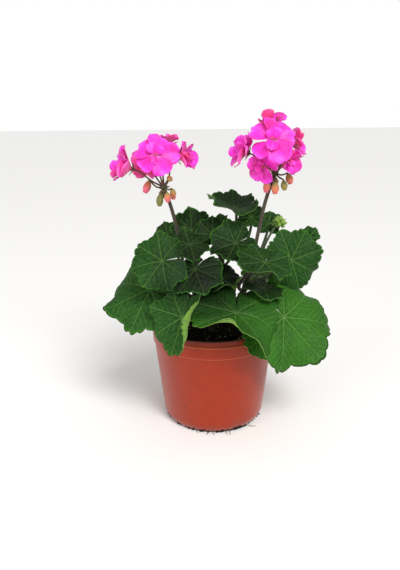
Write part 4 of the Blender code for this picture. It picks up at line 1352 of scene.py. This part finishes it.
# How ripe each bud is, from 0 for hard and green to 1 for pink and about to open.
BUD_RIPENESS = {
    "left_bud_pink": 1.0, "left_bud_long": 0.12, "left_bud_front": 0.80, "left_bud_right": 0.62,
    "left_bud_back": 0.35, "left_calyx": 0.45, "right_bud_long": 0.78, "right_bud_front": 0.70,
    "right_bud_outer": 0.72, "right_bud_right": 0.30, "right_bud_back": 0.35,
}
for name, ripeness in BUD_RIPENESS.items():
    core = cores[name.split("_")[0]]
    rings, _ = read_rings(name, near=Vector(core))
    # The last five of the CAD solid's rings are the bud's body.
    line = flow_line(sunk(spine(rings), MM), STEPS)
    neck = len(line) - 5 * STEPS
    parts = Parts()
    parts.add(*limb(line[: neck + 2], 10), 1, 0.0)
    body = line[neck:].copy()
    body[:, 3] *= 1.28
    body[-4:, 3] = np.maximum(body[-4:, 3], body[:, 3].max() * np.array([0.80, 0.70, 0.58, 0.44]))
    point = body[-1].copy()
    point[:3] += (body[-1, :3] - body[-3, :3]) * 0.35
    point[3] *= 0.35
    body = np.vstack([body, point])
    verts, faces, uvs = limb(body, 20, ribs=5, rib=0.09)
    share = np.array([uv[1] for uv in uvs]) / max(uv[1] for uv in uvs)
    parts.add(verts, faces, uvs, 0, np.clip(ripeness * (0.35 + 0.85 * share), 0.0, 1.0))
    bud_way = body[-1, :3] - body[0, :3]
    out = np.cross(bud_way, [0.3, 1.0, 0.2])
    for step in range(3):
        turn = 2.0 * math.pi * step / 3
        axis = unit(bud_way)
        around = unit(out * math.cos(turn) + np.cross(axis, out) * math.sin(turn))
        foot = body[4, :3] + around * body[4, 3] * 0.95
        pointed_scale(parts, foot, axis + around * 0.12, -around,
                      np.linalg.norm(bud_way) * 0.50, body[:, 3].max() * 1.1, 2, 0.0)
    made = parts.piece(f"geranium_{name}", [bud_skin, pedicel_skin, bract_green])
    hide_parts(name)

# ---------------------------------------------------------------- young flower head
# A fresh yellow-green head, still shut: a tight knob of small buds among pointed bracts, on a
# stalk of its own that is much shorter than the others.
YOUNG_BUDS, YOUNG_BRACTS = 22, 12
# Fresh yellow-green skin, with no red in it.
young_green = stalk_material("young_bud_skin", "#4f7d22", "#9cc24a", "#7aa034")
rings, _ = read_rings("young_truss", near=PLANT_FOOT)
rows = spine(rings)
middle = rows[-3, :3].copy()
knob = rows[-3:, 3].max()
rows[-4:, 3] = rows[0, 3] * 1.2
parts = Parts()
parts.add(*limb(flow_line(sunk(rows[:-2], 1.5 * MM), 5), 12), 0, 0.0)
dice = random.Random(77)
for step in range(YOUNG_BUDS):
    # The golden angle spreads the buds evenly over the knob.
    height = 1.0 - 1.7 * (step + 0.5) / YOUNG_BUDS
    turn = step * math.pi * (3.0 - math.sqrt(5.0))
    flat = math.sqrt(1.0 - height * height)
    out = np.array([math.cos(turn) * flat, math.sin(turn) * flat, height])
    inner_end, outer_end = middle + out * knob * 0.25, middle + out * knob * dice.uniform(1.0, 1.3)
    share = np.linspace(0.0, 1.0, 7)
    line = [[*(inner_end + (outer_end - inner_end) * s), knob * 0.36 * swell] for s, swell in
            zip(share, (0.35, 0.6, 0.9, 1.0, 0.9, 0.6, 0.2))]
    parts.add(*limb(np.array(line), 10, ribs=5, rib=0.06), 1, 0.0)
for step in range(YOUNG_BRACTS):
    turn = 2.0 * math.pi * (step + dice.uniform(-0.3, 0.3)) / YOUNG_BRACTS
    out = np.array([math.cos(turn), math.sin(turn), dice.uniform(-0.5, 0.6)])
    pointed_scale(parts, middle + out * knob * 0.4, out, np.array([0.0, 0.0, 1.0]),
                  knob * dice.uniform(0.8, 1.2), 2.4 * MM, 1, 0.0)
made = parts.piece("geranium_young_truss", [leaf_stalk_skin, young_green])
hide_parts("young_truss")

bpy.context.view_layer.update()
